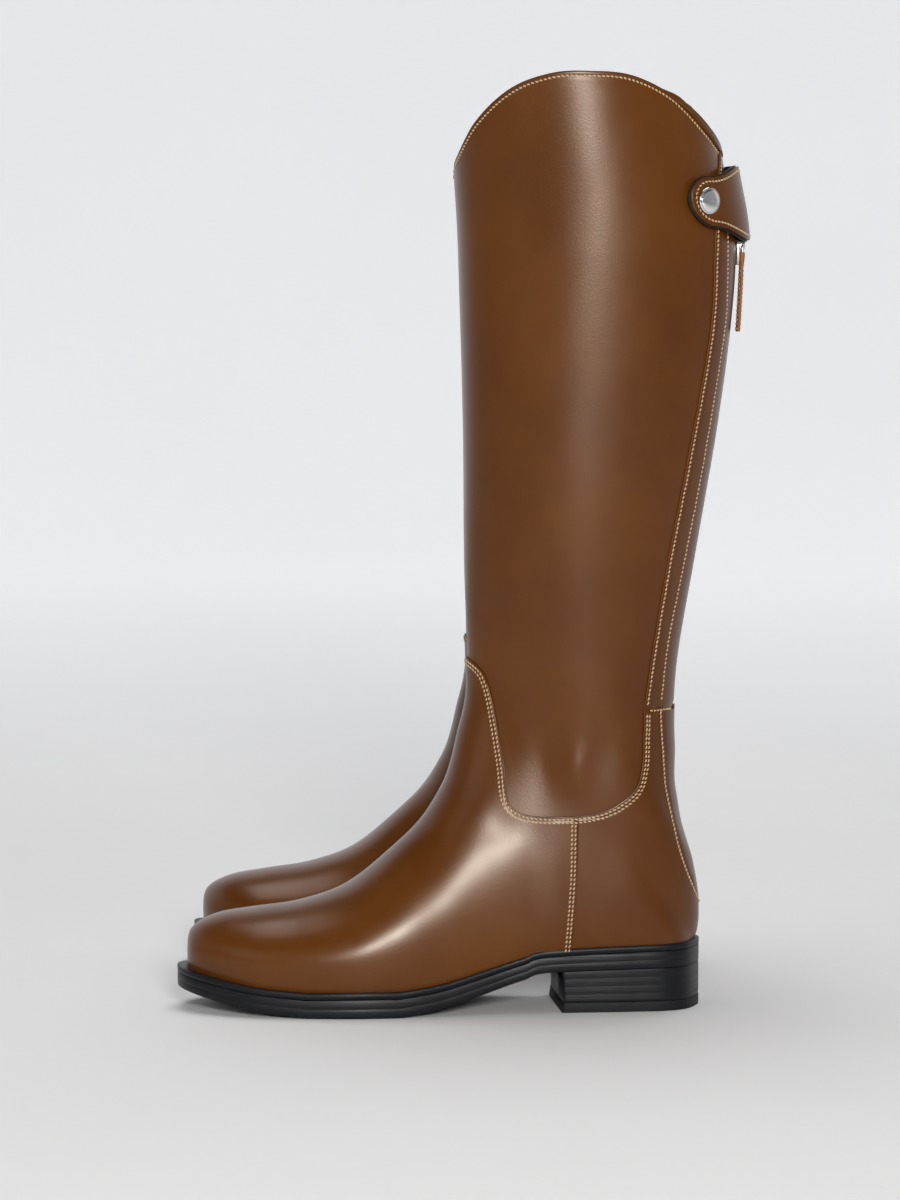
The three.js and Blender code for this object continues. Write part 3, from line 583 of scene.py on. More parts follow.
# %% A patch
def groove(distance, rows):
    """How far the leather is pressed in at this distance from an edge."""
    sunk = sum(GROOVE * np.exp(-((distance - row) / GROOVE_HALF) ** 2) for row in rows)
    return sunk + EDGE_DROP * np.exp(-distance / GROOVE_HALF)


def patch(bottom, top, left, right, offset, step=3.0, sewn="", rows=(ROW_ONE, ROW_TWO),
          cut=""):
    """A four-sided piece. sewn and cut name sides by their first letter, b t l or r."""
    across, up = max(length_of(bottom), length_of(top)), max(length_of(left), length_of(right))
    fine = sewn + cut
    u = spread(across, step, "l" in fine, "r" in fine)
    v = spread(up, step, "b" in fine, "t" in fine)
    low, high = by_length(bottom, u)[:, None], by_length(top, u)[:, None]
    start, end = by_length(left, v)[None], by_length(right, v)[None]
    uu, vv = u[:, None, None], v[None, :, None]
    place = ((1 - vv) * low + vv * high + (1 - uu) * start + uu * end
             - (1 - uu) * (1 - vv) * low[0, 0] - uu * (1 - vv) * low[-1, 0]
             - (1 - uu) * vv * high[0, 0] - uu * vv * high[-1, 0])
    away = {"b": vv[..., 0] * up, "t": (1 - vv[..., 0]) * up,
            "l": uu[..., 0] * across, "r": (1 - uu[..., 0]) * across}
    near = np.full(place.shape[:2], FAR_FROM_SEAM)
    lift = offset(skin(place[..., 0], place[..., 1])) if callable(offset) else offset
    lift = np.broadcast_to(lift, place.shape[:2])
    for side in sewn:
        distance = np.broadcast_to(away[side], lift.shape)
        lift = lift - groove(distance, rows)
        near = np.minimum(near, distance)
    points = laid(place[..., 0], place[..., 1], lift)
    return grid_mesh(points, np.exp(-near / BURNISH_REACH) * BURNISH, place)


# %% From points to a mesh
def grid_mesh(points, edge, place=None):
    """A grid whose vertices move to these points. place is needed where it must face outwards."""
    bm = bmesh.new()
    mark = bm.verts.layers.float.new("edge")
    nu, nv = points.shape[:2]
    bmesh.ops.create_grid(bm, x_segments=nu - 1, y_segments=nv - 1, size=1)
    for vert in bm.verts:
        i = round((vert.co.x + 1) / 2 * (nu - 1))
        j = round((vert.co.y + 1) / 2 * (nv - 1))
        vert.co = points[i, j]
        vert[mark] = edge[i, j]
    if place is not None:
        bm.normal_update()
        middle = min(bm.faces, key=lambda f: (f.calc_center_median()
                                              - Vector(points[nu // 2, nv // 2])).length)
        outward = Vector(normal_at(*place[nu // 2, nv // 2]))
        if middle.normal.dot(outward) < 0:
            bmesh.ops.reverse_faces(bm, faces=bm.faces)
    return bm


# %% Thickness
ROUNDED_ABOVE = math.radians(50)         # edges sharper than this are rounded


def thick(millimetres, bevel=0.3):
    """A finish that gives a skin its thickness, inwards, and rounds its edges."""
    def apply_to(piece):
        solid = piece.modifiers.new("thickness", "SOLIDIFY")
        solid.thickness = millimetres * MM
        solid.offset = -1
        solid.use_even_offset = False
        solid.material_offset_rim = 1
        rounding = piece.modifiers.new("rounded_edge", "BEVEL")
        rounding.width = bevel * MM
        rounding.segments = 2
        rounding.limit_method = "ANGLE"
        rounding.angle_limit = ROUNDED_ABOVE
        rounding.use_clamp_overlap = True
    return apply_to


def inner(line):
    """The same line on the inner side of the boot."""
    return np.stack([line[:, 0], 2 - line[:, 1]], -1)


print("groove under a row", round(float(groove(ROW_ONE, (ROW_ONE,))), 2), "mm deep")


# %% [markdown]
# ## The upper
# The shaft is one big piece that wraps the shin from zip strip to zip strip. The vamp, the
# two quarters and the strips beside the zip lie on top of it. Where one piece passes under
# another it dips a little, as skived leather does, so every edge can be seen as a step.

# %% Lines for the pattern pieces
SHAFT, OVER, TOPMOST = 0.0, 1.05, 1.95  # outer face of each layer, mm off the last
SHAFT_THICK, THIN = 1.6, 0.85
TUCK = 5                                # how far a piece runs on under its neighbour
DIP, SHAFT_DIP = 0.85, 0.8              # how far it dips there
TOP_AT_BACK = 449.6                     # height of the top line in the middle of the back
BACK_X = 3.2                            # half the gap beside the zip
CORNER_OUTER, CORNER_INNER = 147.6, 147.4   # y at which shaft and strip share the top line
TOP_ROW = 2.5                           # sewn row below the top line


def ease(x):
    """A soft step from 0 to 1."""
    x = np.clip(x, 0, 1)
    return x * x * (3 - 2 * x)


def shifted(line, distance):
    """A side-view line moved square to itself, to the right of the way it runs."""
    along = np.gradient(line, axis=0)
    along /= np.linalg.norm(along, axis=1, keepdims=True)
    return line + np.stack([along[:, 1], -along[:, 0]], -1) * distance


def front_at(z):
    """The y of the front ridge at height z."""
    rows = catmull(LAST, np.linspace(0, len(LAST) - 1, 900))
    return np.interp(z, rows[:, 3], rows[:, 2])


def on_last(line):
    """A side-view line as an (s, c) line, kept behind the front ridge."""
    line = np.array(line, float)
    line[:, 0] = np.maximum(line[:, 0], front_at(line[:, 1]))
    return locate(line)


def top_line(curve, start_y):
    """The top line from start_y at the back to the front ridge."""
    y = np.concatenate([np.linspace(start_y, 14, 70), np.linspace(12, curve[0, 0], 8)])
    line = on_last(np.stack([y, np.interp(y, curve[:, 0], curve[:, 1])], -1))
    line[-1, 1] = 1
    return line


def joined(*lines):
    """Lines that follow on from each other, without the doubled points."""
    parts = [lines[0]] + [line[1:] for line in lines[1:]]
    return np.concatenate(parts)


def both_sides(line):
    """A line that ends on the front ridge, carried on down the inner side."""
    line = line.copy()
    line[-1, 1] = 1
    return joined(line, inner(line[::-1]))


# %% [markdown]
# ### The shaft
# On the real boot this is one large panel, drawn round the shin and thinned where other
# pieces are sewn over it. A cylinder wrapped onto the last could make it. A patch between
# four drawn lines was chosen, because its edges are then the pattern itself.

# %% Shaft
u_seam = np.concatenate([U_FRONT, U_REAR[1:]])
under_u = shifted(u_seam, TUCK)[::-1]
under_u = under_u[under_u[:, 0] >= front_at(under_u[:, 1]) - 0.2]
shaft_foot = both_sides(on_last(under_u))
shaft_top = joined(top_line(TOP_OUTER, CORNER_OUTER), inner(top_line(TOP_INNER, CORNER_INNER))[::-1])
shaft_rear = on_last(np.vstack([under_u[:1], PLACKET_EDGE[3:-1] + [TUCK, 0],
                                [(CORNER_OUTER, np.interp(CORNER_OUTER, TOP_OUTER[:, 0],
                                                          TOP_OUTER[:, 1]))]]))
shaft_rear[-1] = shaft_top[0]
shaft_inner = inner(shaft_rear)
shaft_inner[-1] = shaft_top[-1]
rear_edge = np.concatenate([U_REAR[24:-1], PLACKET_EDGE])


def shaft_lift(base):
    """The shaft dips where it runs on under the strip and under the end of the quarter."""
    edge = np.interp(base[..., 2], rear_edge[:, 1], rear_edge[:, 0], left=200)
    return SHAFT - SHAFT_DIP * ease((base[..., 1] - edge) / 3)


publish("shaft", lambda: patch(shaft_foot, shaft_top, shaft_rear, shaft_inner, shaft_lift, 4.0,
                               sewn="t", rows=(TOP_ROW,)),
        "boot", (BROWN, CUT_EDGE_AND_HIGHLIGHT), ("shaft_panel",), thick(SHAFT_THICK))


# %% [markdown]
# ### The vamp
# The vamp covers the foot from the toe to the U seam and the side seam, with no seam at the
# toe. A subdivided box could be shaped to it, but a patch that starts as a small loop at the
# toe and fans out follows the last without pinching. It rises towards the side seam, where
# it is sewn on top of the quarter.

# %% Vamp
toe_line = np.stack([np.full(61, TOE_S), np.linspace(0, 2, 61)], -1)
vamp_rear = both_sides(joined(on_last(SIDE_SEAM[::-1]), on_last(U_FRONT[::-1])))
vamp_rear[0, 1], vamp_rear[-1, 1] = 0, 2
vamp_side = np.stack([np.linspace(TOE_S, vamp_rear[0, 0], 80), np.zeros(80)], -1)
vamp_inner = np.stack([np.linspace(TOE_S, vamp_rear[-1, 0], 80), np.full(80, 2.0)], -1)


def vamp_lift(base):
    """The vamp rises onto the quarter before it reaches the side seam."""
    return OVER + (TOPMOST - OVER) * ease((base[..., 1] - 46) / 16)


publish("vamp", lambda: patch(toe_line, vamp_rear, vamp_side, vamp_inner, vamp_lift, 3.5,
                              sewn="t"),
        "boot", (BROWN, CUT_EDGE_AND_HIGHLIGHT), ("vamp",), thick(THIN))


# %% [markdown]
# ### The quarters
# Two quarters close the heel and meet under the back stay. They could be one mesh with a
# Mirror modifier, but the inner side of a foot is not a mirror of the outer side. The same
# lines are drawn on the inner side of the last instead.

# %% Quarters
def quarter_lift(base):
    """The quarter dips where it runs on under the stay."""
    edge = np.interp(base[..., 2], STAY_EDGE[::-1, 1], STAY_EDGE[::-1, 0])
    return OVER - DIP * ease((base[..., 1] - edge) / 2.5)


side_front = on_last(SIDE_SEAM[::-1] - [TUCK, 0])
side_front[0, 1] = 0
quarter_top = on_last(np.vstack([[SIDE_SEAM[0] - [TUCK, 0]], U_REAR]))
quarter_rear = joined(np.array([(HEEL_S + k * 0.1, 0) for k in range(11)]),
                      on_last(STAY_EDGE[::-1] + [TUCK, 0]),
                      on_last([(121, CROSS_SEAM), (114, CROSS_SEAM), (107, CROSS_SEAM)]))
quarter_rear[-1] = quarter_top[-1]
quarter_foot = np.stack([np.linspace(side_front[0, 0], HEEL_S, 80), np.zeros(80)], -1)
quarter_lines = [quarter_foot, quarter_top, side_front, quarter_rear]
publish("quarter_lateral", lambda: patch(*quarter_lines, quarter_lift, 3.0, sewn="t"),
        "boot", (BROWN, CUT_EDGE_AND_HIGHLIGHT), ("quarter_lateral",), thick(THIN))
publish("quarter_medial", lambda: patch(*[inner(line) for line in quarter_lines],
                                        quarter_lift, 3.0, sewn="t"),
        "boot", (BROWN, CUT_EDGE_AND_HIGHLIGHT), ("quarter_medial",), thick(THIN))


# %% [markdown]
# ### The back stay
# A tongue of leather covers the joint of the quarters, wide at the cross seam and narrow at
# the heel. A bevelled curve would be of one width. A patch takes the pattern line, and its
# lift falls away towards the tip, as skiving does.

# %% Back stay
stay_outer = on_last(STAY_EDGE[::-1])
STAY_TIP = 0.012                        # half the stay's foot, as c
stay_outer[0, 1] = STAY_TIP
stay_back = back_line(0, np.array([CROSS_SEAM]))[0]
stay_top = np.stack([np.full(41, stay_back[0]), np.linspace(stay_outer[-1, 1],
                                                            -stay_outer[-1, 1], 41)], -1)
stay_top[:, 0] = np.interp(np.abs(stay_top[:, 1]), [0, stay_outer[-1, 1]],
                           [stay_back[0], stay_outer[-1, 0]])
stay_inner = stay_outer * [1, -1]
stay_foot = np.stack([np.full(9, stay_outer[0, 0]), np.linspace(STAY_TIP, -STAY_TIP, 9)], -1)


def stay_lift(base):
    """The stay is skived away towards its lower tip, so that the heel stays smooth."""
    return OVER + 0.15 + (TOPMOST - OVER - 0.45) * ease((base[..., 2] - 56) / 70)


publish("back_stay", lambda: patch(stay_foot, stay_top, stay_outer, stay_inner, stay_lift, 3.0,
                                   sewn="lr", rows=(ROW_ONE,), cut="t"),
        "boot", (BROWN, CUT_EDGE_AND_HIGHLIGHT), ("back_stay",), thick(THIN))


# %% [markdown]
# ### The strips beside the zip
# Two long strips carry the zip. They are sewn over the rear edge of the shaft, and their
# lower ends dip under the quarters and the stay. They are patches too, so a groove runs
# beside the sewn edges and the edge at the zip stays clean.

# %% Strips beside the zip
def strip(top_curve, corner):
    end = (corner, np.interp(corner, top_curve[:, 0], top_curve[:, 1]))
    start = (PLACKET_EDGE[0, 0], CROSS_SEAM - TUCK)
    front = on_last(np.vstack([[start], PLACKET_EDGE[:-1], [end]]))
    rear = back_line(BACK_X, np.linspace(CROSS_SEAM - TUCK, TOP_AT_BACK, 90))
    foot = by_length(np.stack([front[0], rear[0]]), np.linspace(0, 1, 30))
    top = by_length(np.stack([front[-1], rear[-1]]), np.linspace(0, 1, 30))
    return foot, top, front, rear


def strip_lift(base):
    return OVER - DIP * ease((CROSS_SEAM + 3 - base[..., 2]) / 4)


publish("placket_lateral", lambda: patch(*strip(TOP_OUTER, CORNER_OUTER), strip_lift, 3.0,
                                         sewn="lt", cut="r"),
        "boot", (BROWN, CUT_EDGE_AND_HIGHLIGHT), ("placket_lateral",), thick(THIN))
publish("placket_medial", lambda: patch(*[inner(line) for line in strip(TOP_INNER, CORNER_INNER)],
                                        strip_lift, 3.0, sewn="lt", cut="r"),
        "boot", (BROWN, CUT_EDGE_AND_HIGHLIGHT), ("placket_medial",), thick(THIN))


# %% [markdown]
# ### The lining
# The lining is a thin leather bag inside the boot. Copies of the outer pieces, moved
# inwards, would leave gaps at their seams. One patch round the whole last has none.

# %% Lining
LINING_OFFSET = SHAFT - SHAFT_THICK - 0.15


def round_top():
    """The top line all the way round, from the middle of the back and back to it."""
    outer_top = top_line(TOP_OUTER, CORNER_OUTER)
    inner_top = inner(top_line(TOP_INNER, CORNER_INNER))[::-1]
    back = back_line(0, np.array([TOP_AT_BACK]))
    return np.concatenate([back, outer_top, inner_top[1:], back + [0, 2]])


lining_top = round_top()
lining_foot = toe_line
lining_side = np.stack([np.linspace(TOE_S, lining_top[0, 0], 160), np.zeros(160)], -1)
publish("lining", lambda: patch(lining_foot, lining_top, lining_side, lining_side + [0, 2],
                                LINING_OFFSET, 6.0, cut="t"),
        "boot", (LINING_SKIN, CUT_EDGE_AND_HIGHLIGHT), ("lining",), thick(0.9))


# %% [markdown]
# ## The sole
# A sole is a plate with a shaped edge. Every rib across it is one closed loop: the edge
# profile on the outer side, straight across the bottom, the same profile on the inner side,
# and back across the top. A row of ribs from toe to heel is a grid, and its ends close to a
# point at the toe and at the back of the heel.

# %% Outline of the sole
STAND_TOE, STAND_HEEL = 6.4, 4.2        # how far the welt stands out past the upper
RIBS = 150
feather = skin(np.linspace(0, HEEL_S, 900), 0)
feather_in = skin(np.linspace(0, HEEL_S, 900), 2)


def even_points(line, count):
    steps = np.linalg.norm(np.diff(line, axis=0), axis=1)
    length = np.concatenate([[0], np.cumsum(steps)])
    share = np.linspace(0, 1, count)
    return np.stack([np.interp(share * length[-1], length, line[:, k]) for k in (0, 1)], -1)


def edge_of(line, sign):
    """The welt's outer edge beside a feather line, with its outward directions."""
    plan = even_points(line[:, :2], RIBS)
    along = np.gradient(plan, axis=0)
    along[0], along[-1] = (1 * sign, 0), (-1 * sign, 0)
    along /= np.linalg.norm(along, axis=1, keepdims=True)
    out = np.stack([along[:, 1], -along[:, 0]], -1) * sign
    share = ease((plan[:, 1] + 100) / 200)[:, None]
    stand = STAND_TOE + (STAND_HEEL - STAND_TOE) * share
    return plan + out * stand, out


outer_edge, outer_out = edge_of(feather, 1)
inner_edge, inner_out = edge_of(feather_in, -1)
print("sole", round(outer_edge[:, 0].max() - inner_edge[:, 0].min(), 1), "mm across")


# %% Ribs and edge profiles
def ribs(profile, top, bottom, rows=slice(None), face=None):
    """A plate of the sole. profile rows are (distance in, share of height from the top)."""
    lateral, medial = outer_edge[rows], inner_edge[rows]
    middle = np.linspace(0, 1, 11)[1:-1, None]
    loops = []
    for i in range(len(lateral)):
        def wall(edge, out):
            places = []
            for inward, share in profile:
                x, y = edge[i] - out[rows][i] * inward
                high, low = top(y), bottom(y)
                z = high + (low - high) * share
                places.append((x, y + (face(i, z) if face else 0), z))
            return np.array(places)
        left, right = wall(lateral, outer_out), wall(medial, inner_out)
        under = left[-1] * (1 - middle) + right[-1] * middle
        under[:, 2] = [bottom(y) for y in under[:, 1]]
        over = right[0] * (1 - middle) + left[0] * middle
        over[:, 2] = [top(y) for y in over[:, 1]]
        loops.append(np.concatenate([left, under, right[::-1], over, left[:1]]))
    points = np.array(loops)
    bm = grid_mesh(points, np.zeros(points.shape[:2]))
    bmesh.ops.remove_doubles(bm, verts=bm.verts, dist=0.02)
    bmesh.ops.holes_fill(bm, edges=[e for e in bm.edges if e.is_boundary], sides=0)
    bmesh.ops.recalc_face_normals(bm, faces=bm.faces)
    return bm


def rounded(lifts=1, groove_depth=0.0, corner=0.7):
    """An edge profile: soft corners, and a fine groove between the lifts of leather."""
    rows = [(corner + 3, 0), (corner, 0), (corner * 0.3, 0.02), (0, 0.06)]
    for k in range(1, lifts):
        share = k / lifts
        width = 0.03 / lifts
        rows += [(0, share - width), (groove_depth, share), (0, share + width)]
    return rows + [(0.1, 0.94), (corner * 0.5, 0.985), (corner + 0.3, 1), (corner + 3, 1)]


# %% Welt, outsole and heel
BREAST = 61                             # y of the front face of the heel
TOP_PIECE = 5.5                         # thickness of the rubber under it
HOLLOW, HOLLOW_HEIGHT = 1.2, 22
heel_rows = slice(int(np.searchsorted(outer_edge[:, 1], BREAST + 2)), None)


def breast_curve(i, z):
    """The breast of the heel is a little hollow."""
    return HOLLOW * math.sin(math.pi * np.clip(z / HOLLOW_HEIGHT, 0, 1)) if i == 0 else 0


publish("welt", lambda: ribs(rounded(corner=0.9), welt_top_at, lambda y: welt_top_at(y) - WELT),
        "boot", (SOLE,), ("welt",))
publish("outsole", lambda: ribs([(a + 0.1, b) for a, b in rounded(2, 0.05)],
                                lambda y: welt_top_at(y) - WELT, tread_at),
        "boot", (SOLE,), ("outsole",))
publish("heel_block", lambda: ribs([(a + 0.2, b) for a, b in rounded(4, 0.025, 0.2)], tread_at,
                                   lambda y: TOP_PIECE, heel_rows, face=breast_curve),
        "boot", (SOLE,), ("heel_block",))
publish("heel_top_piece", lambda: ribs([(a + 0.15, b) for a, b in rounded(1, 0, 0.3)],
                                       lambda y: TOP_PIECE, lambda y: 0.0, heel_rows,
                                       face=breast_curve),
        "boot", (RUBBER,), ("heel_top_piece",))


# %% [markdown]
# ## The zip
# Two woven tapes lie under the strips, and a row of metal teeth closes the gap between them.
# There are hundreds of teeth, so each is a small bevelled cube with few faces, copied up
# the curve of the back. An Array modifier on a curve would do it too, but a loop can also
# step from side to side.

# %% Tapes
ZIP_FOOT, ZIP_TOP = 164, 447
TAPE_NEAR, TAPE_FAR, TAPE_THICK = 0.6, 13, 0.6      # its edges from the middle, its thickness
TAPE_OFFSET = -0.75


def tape():
    heights = np.linspace(ZIP_FOOT, ZIP_TOP, 90)
    near, far = back_line(TAPE_NEAR, heights), back_line(TAPE_FAR, heights)
    foot = by_length(np.stack([far[0], near[0]]), np.linspace(0, 1, 12))
    top = by_length(np.stack([far[-1], near[-1]]), np.linspace(0, 1, 12))
    return foot, top, far, near


publish("zip_tape_lateral", lambda: patch(*tape(), TAPE_OFFSET, 3.0), "boot",
        (TAPE_CLOTH,), ("zip_tape_lateral",), thick(TAPE_THICK, 0.1))
publish("zip_tape_medial", lambda: patch(*[inner(line) for line in tape()], TAPE_OFFSET, 3.0),
        "boot", (TAPE_CLOTH,), ("zip_tape_medial",), thick(TAPE_THICK, 0.1))


# %% Teeth
def on_back(height, x, offset):
    """A place on the back of the boot and the axes there: sideways, outwards, upwards."""
    s, c = back_line(abs(x), np.array([height]))[0]
    c = math.copysign(c, x) if x else 0.0
    place, out = laid(s, c, offset), normal_at(s, c)
    s2, c2 = back_line(abs(x), np.array([height + 1]))[0]
    up = skin(s2, math.copysign(c2, x) if x else 0.0) - skin(s, c)
    return place, out, up / np.linalg.norm(up)


def turn_to(place, out, up):
    side = np.cross(up, out)
    side /= np.linalg.norm(side)
    up = np.cross(out, side)
    matrix = Matrix.Identity(4)
    for k, axis in enumerate((side, up, out)):
        for row in range(3):
            matrix[row][k] = axis[row]
    return Matrix.Translation(Vector(place)) @ matrix


TOOTH = (2.3, 1.05, 1.3)                # across, along and out of the zip
TOOTH_PITCH, TOOTH_ASIDE, TOOTH_BEVEL = 1.9, 0.75, 0.22
TOOTH_FOOT, TOOTH_TOP = 165, 444
TOOTH_OFFSET = TAPE_OFFSET + 0.55


def teeth():
    bm = bmesh.new()
    bm.verts.layers.float.new("edge")
    count = int((TOOTH_TOP - TOOTH_FOOT) / TOOTH_PITCH)
    for k in range(count * 2):
        height = TOOTH_FOOT + k * TOOTH_PITCH / 2
        x = TOOTH_ASIDE if k % 2 else -TOOTH_ASIDE
        place, out, up = on_back(height, x, TOOTH_OFFSET)
        fit = turn_to(place, out, up) @ Matrix.Diagonal((*TOOTH, 1))
        tooth = bmesh.ops.create_cube(bm, size=1, matrix=fit)["verts"]
        rim = list({e for v in tooth for e in v.link_edges})
        bmesh.ops.bevel(bm, geom=rim, offset=TOOTH_BEVEL, affect="EDGES", segments=1, profile=0.5,
                        material=-1)
    return bm


publish("zip_teeth", teeth, "boot", (NICKEL,), ("zip_teeth",))


# %% [markdown]
# ## Slider, pull and leather tab
# The slider is a cast plate with a lug. The pull hangs from it on a bar, and a folded strip
# of tan leather is sewn round the foot of the pull. The plate is an extruded outline, the
# pull is rings of wire joined in a loop, and the tab is a grid rolled into a tube, because
# each then has its real edges. Their places come from the frame.

# %% Boxes of the small parts in the boot's own frame
from_row = to_row.inverted()


def own_box(node):
    """Lowest and highest corner of a left node, in the boot's frame, mm."""
    corners = [from_row @ v.co for v in frame["nodes"][f"left_{node}"].data.vertices]
    return (Vector(min(c[k] for c in corners) for k in range(3)),
            Vector(max(c[k] for c in corners) for k in range(3)))


slider_low, slider_high = own_box("zip_slider")
pull_low, pull_high = own_box("zip_pull")
tab_low, tab_high = own_box("zip_pull_tab")
print("slider", [round(v, 1) for v in slider_low], "tab", [round(v, 1) for v in tab_low])


# %% Slider, pull and tab
def outline_plate(outline, depth, y):
    """A flat plate from an outline in x and z. It is extruded towards +Y and bevelled."""
    bm = bmesh.new()
    bm.verts.layers.float.new("edge")
    front = bm.faces.new([bm.verts.new((x, y, z)) for x, z in outline])
    back = bmesh.ops.extrude_face_region(bm, geom=[front])["geom"]
    bmesh.ops.translate(bm, vec=(0, depth, 0),
                        verts=[v for v in back if isinstance(v, bmesh.types.BMVert)])
    bmesh.ops.recalc_face_normals(bm, faces=bm.faces)
    bmesh.ops.bevel(bm, geom=[e for e in bm.edges if e.calc_face_angle(0) > 0.6],
                    offset=0.45, affect="EDGES", segments=3, profile=0.5, material=-1)
    return bm


WIRE, WIRE_SIDES = 0.62, 10             # the pull's wire: its radius and its sides
RING_POWER = 4.0                        # 2 is an ellipse, more is squarer


def bar_ring(bm, centre, width, height, count=40):
    """A closed wire bent to a rounded rectangle that stands across the boot."""
    loop = []
    for k in range(count):
        t = 2 * math.pi * k / count
        x = math.copysign(abs(math.cos(t)) ** (2 / RING_POWER), math.cos(t)) * width / 2
        z = math.copysign(abs(math.sin(t)) ** (2 / RING_POWER), math.sin(t)) * height / 2
        loop.append(Vector((x, 0, z)) + Vector(centre))
    rings = []
    for k, place in enumerate(loop):
        along = (loop[(k + 1) % count] - loop[k - 1]).normalized()
        turn = along.to_track_quat("Z", "Y").to_matrix().to_4x4()
        made_ring = bmesh.ops.create_circle(bm, segments=WIRE_SIDES, radius=WIRE,
                                            matrix=Matrix.Translation(place) @ turn)["verts"]
        rings.append(sorted(made_ring, key=lambda v: v.index))
    for k in range(count):
        a, b = rings[k], rings[(k + 1) % count]
        start = min(range(WIRE_SIDES), key=lambda j: (a[0].co - b[j].co).length)
        same_way = (a[1].co - b[(start + 1) % WIRE_SIDES].co).length
        other_way = (a[1].co - b[(start - 1) % WIRE_SIDES].co).length
        step = 1 if same_way < other_way else -1
        for j in range(WIRE_SIDES):
            bm.faces.new((a[j], a[(j + 1) % WIRE_SIDES],
                          b[(start + step * (j + 1)) % WIRE_SIDES],
                          b[(start + step * j) % WIRE_SIDES]))


SLIDER_PLATE = 1.8
LUG, LUG_ASIDE, LUG_OUT = (0.6, 4.4, 3.9), 0.9, 2.9


def slider():
    """A waisted plate with two lugs that hold the pull."""
    z = (slider_low.z + slider_high.z) / 2
    face = slider_low.y
    bm = outline_plate([(-4.6, z + 6.5), (-5.4, z + 2), (-4.6, z - 3), (-3.2, z - 6.4),
                        (3.2, z - 6.4), (4.6, z - 3), (5.4, z + 2), (4.6, z + 6.5),
                        (1.4, z + 6.5), (0, z + 4.6), (-1.4, z + 6.5)], SLIDER_PLATE, face)
    lug_z = pull_high.z - 0.65
    for side in (-LUG_ASIDE, LUG_ASIDE):
        fit = Matrix.Translation((side, face + LUG_OUT, lug_z)) @ Matrix.Diagonal((*LUG, 1))
        lug = bmesh.ops.create_cube(bm, size=1, matrix=fit)["verts"]
        rim = list({e for v in lug for e in v.link_edges})
        bmesh.ops.bevel(bm, geom=rim, offset=0.25, affect="EDGES", segments=2, profile=0.5,
                        material=-1)
    bmesh.ops.recalc_face_normals(bm, faces=bm.faces)
    return bm


def pull():
    bm = bmesh.new()
    bm.verts.layers.float.new("edge")
    centre = (pull_low + pull_high) / 2
    bar_ring(bm, centre, pull_high.x - pull_low.x - 1.2, pull_high.z - pull_low.z - 1.2)
    bmesh.ops.recalc_face_normals(bm, faces=bm.faces)
    return bm


def tab_sway(z):
    """The tab leans in a little towards the strips, with a slight wave."""
    hang = tab_high.z - z
    return 0.2 * math.sin(hang / 15) - 0.05 * hang


TAB_HALF = 1.25                         # half the thickness where the strip is folded


def tab():
    """A folded strip: its two layers part at the pull and meet at the squared end."""
    half, y = (tab_high.x - tab_low.x) / 2, (tab_low.y + tab_high.y) / 2
    high = tab_high.z
    cross = [(-half, 0.4), (-half + 0.5, 1), (0, 1), (half - 0.5, 1), (half, 0.4),
             (half, -0.4), (half - 0.5, -1), (0, -1), (-half + 0.5, -1), (-half, -0.4)]
    points = []
    for z in np.linspace(tab_low.z, high, 46):
        waist = 1 - 0.1 * math.exp(-((z - high + 7) / 4) ** 2)
        swell = 0.62 + 0.42 * ease((z - high + 9) / 7) * (1 - 0.5 * ease((z - high + 1.2) / 1.2))
        sway = tab_sway(z)
        points.append([(x * waist, y + sway + side * TAB_HALF * swell, z)
                       for x, side in cross + cross[:1]])
    points = np.array(points)
    bm = grid_mesh(points, np.zeros(points.shape[:2]))
    bmesh.ops.remove_doubles(bm, verts=bm.verts, dist=0.005)
    bmesh.ops.holes_fill(bm, edges=[e for e in bm.edges if e.is_boundary], sides=0)
    bmesh.ops.recalc_face_normals(bm, faces=bm.faces)
    return bm


def soft_rim(piece):
    rounding = piece.modifiers.new("rounded_edge", "BEVEL")
    rounding.width = 0.2 * MM
    rounding.segments = 2
    rounding.limit_method = "ANGLE"
    rounding.angle_limit = math.radians(60)


publish("zip_slider", slider, "slider", (NICKEL,), ("zip_slider",))
publish("zip_pull", pull, "pull", (NICKEL,), ("zip_pull",))
publish("pull_tab", tab, "pull", (TAN,), ("zip_pull_tab",), soft_rim)


# %% [markdown]
# ## The snap strap
# A rounded strap is sewn on at the inner side, stands clear of the zip as it turns round
# the back, and snaps onto a stud on the outer side. It is the brown leather on a black
# backing, so it is made twice at two distances, with the backing a little larger. It bends
# over a few millimetres beside its sewn end and is stiff beyond. The two places of that bend
# go to publish, which only bakes the strap into place and does not attach it to a body.

# %% Strap outline
STRAP_REST, STRAP_STAND = 2.4, 3.9      # off the last at its ends, and how much more at the back
BACKING_THICK, STRAP_THICK = 1.0, 1.5
STRAP_FACE = BACKING_THICK + STRAP_THICK + 0.1
STRAP_LINE = 428                        # height at which its ends are placed
STRAP_REACH = on_last([(127.6, STRAP_LINE)])[0][1]
STRAP_INNER = on_last([(132, STRAP_LINE)])[0][1]


def strap_lift(c):
    share = np.where(c > 0, c / STRAP_REACH, -c / STRAP_INNER)
    return STRAP_REST + STRAP_STAND * np.cos(np.clip(share, 0, 1) * math.pi / 2) ** 0.8


def at_height(c, z):
    """The s at which the last reaches height z, for each c."""
    s = np.full(np.broadcast(c, z).shape, 20.5)
    for _ in range(6):
        height = skin(s, c)[..., 2]
        rate = (skin(s + 0.01, c)[..., 2] - height) / 0.01
        s = s + (z - height) / rate
    return s


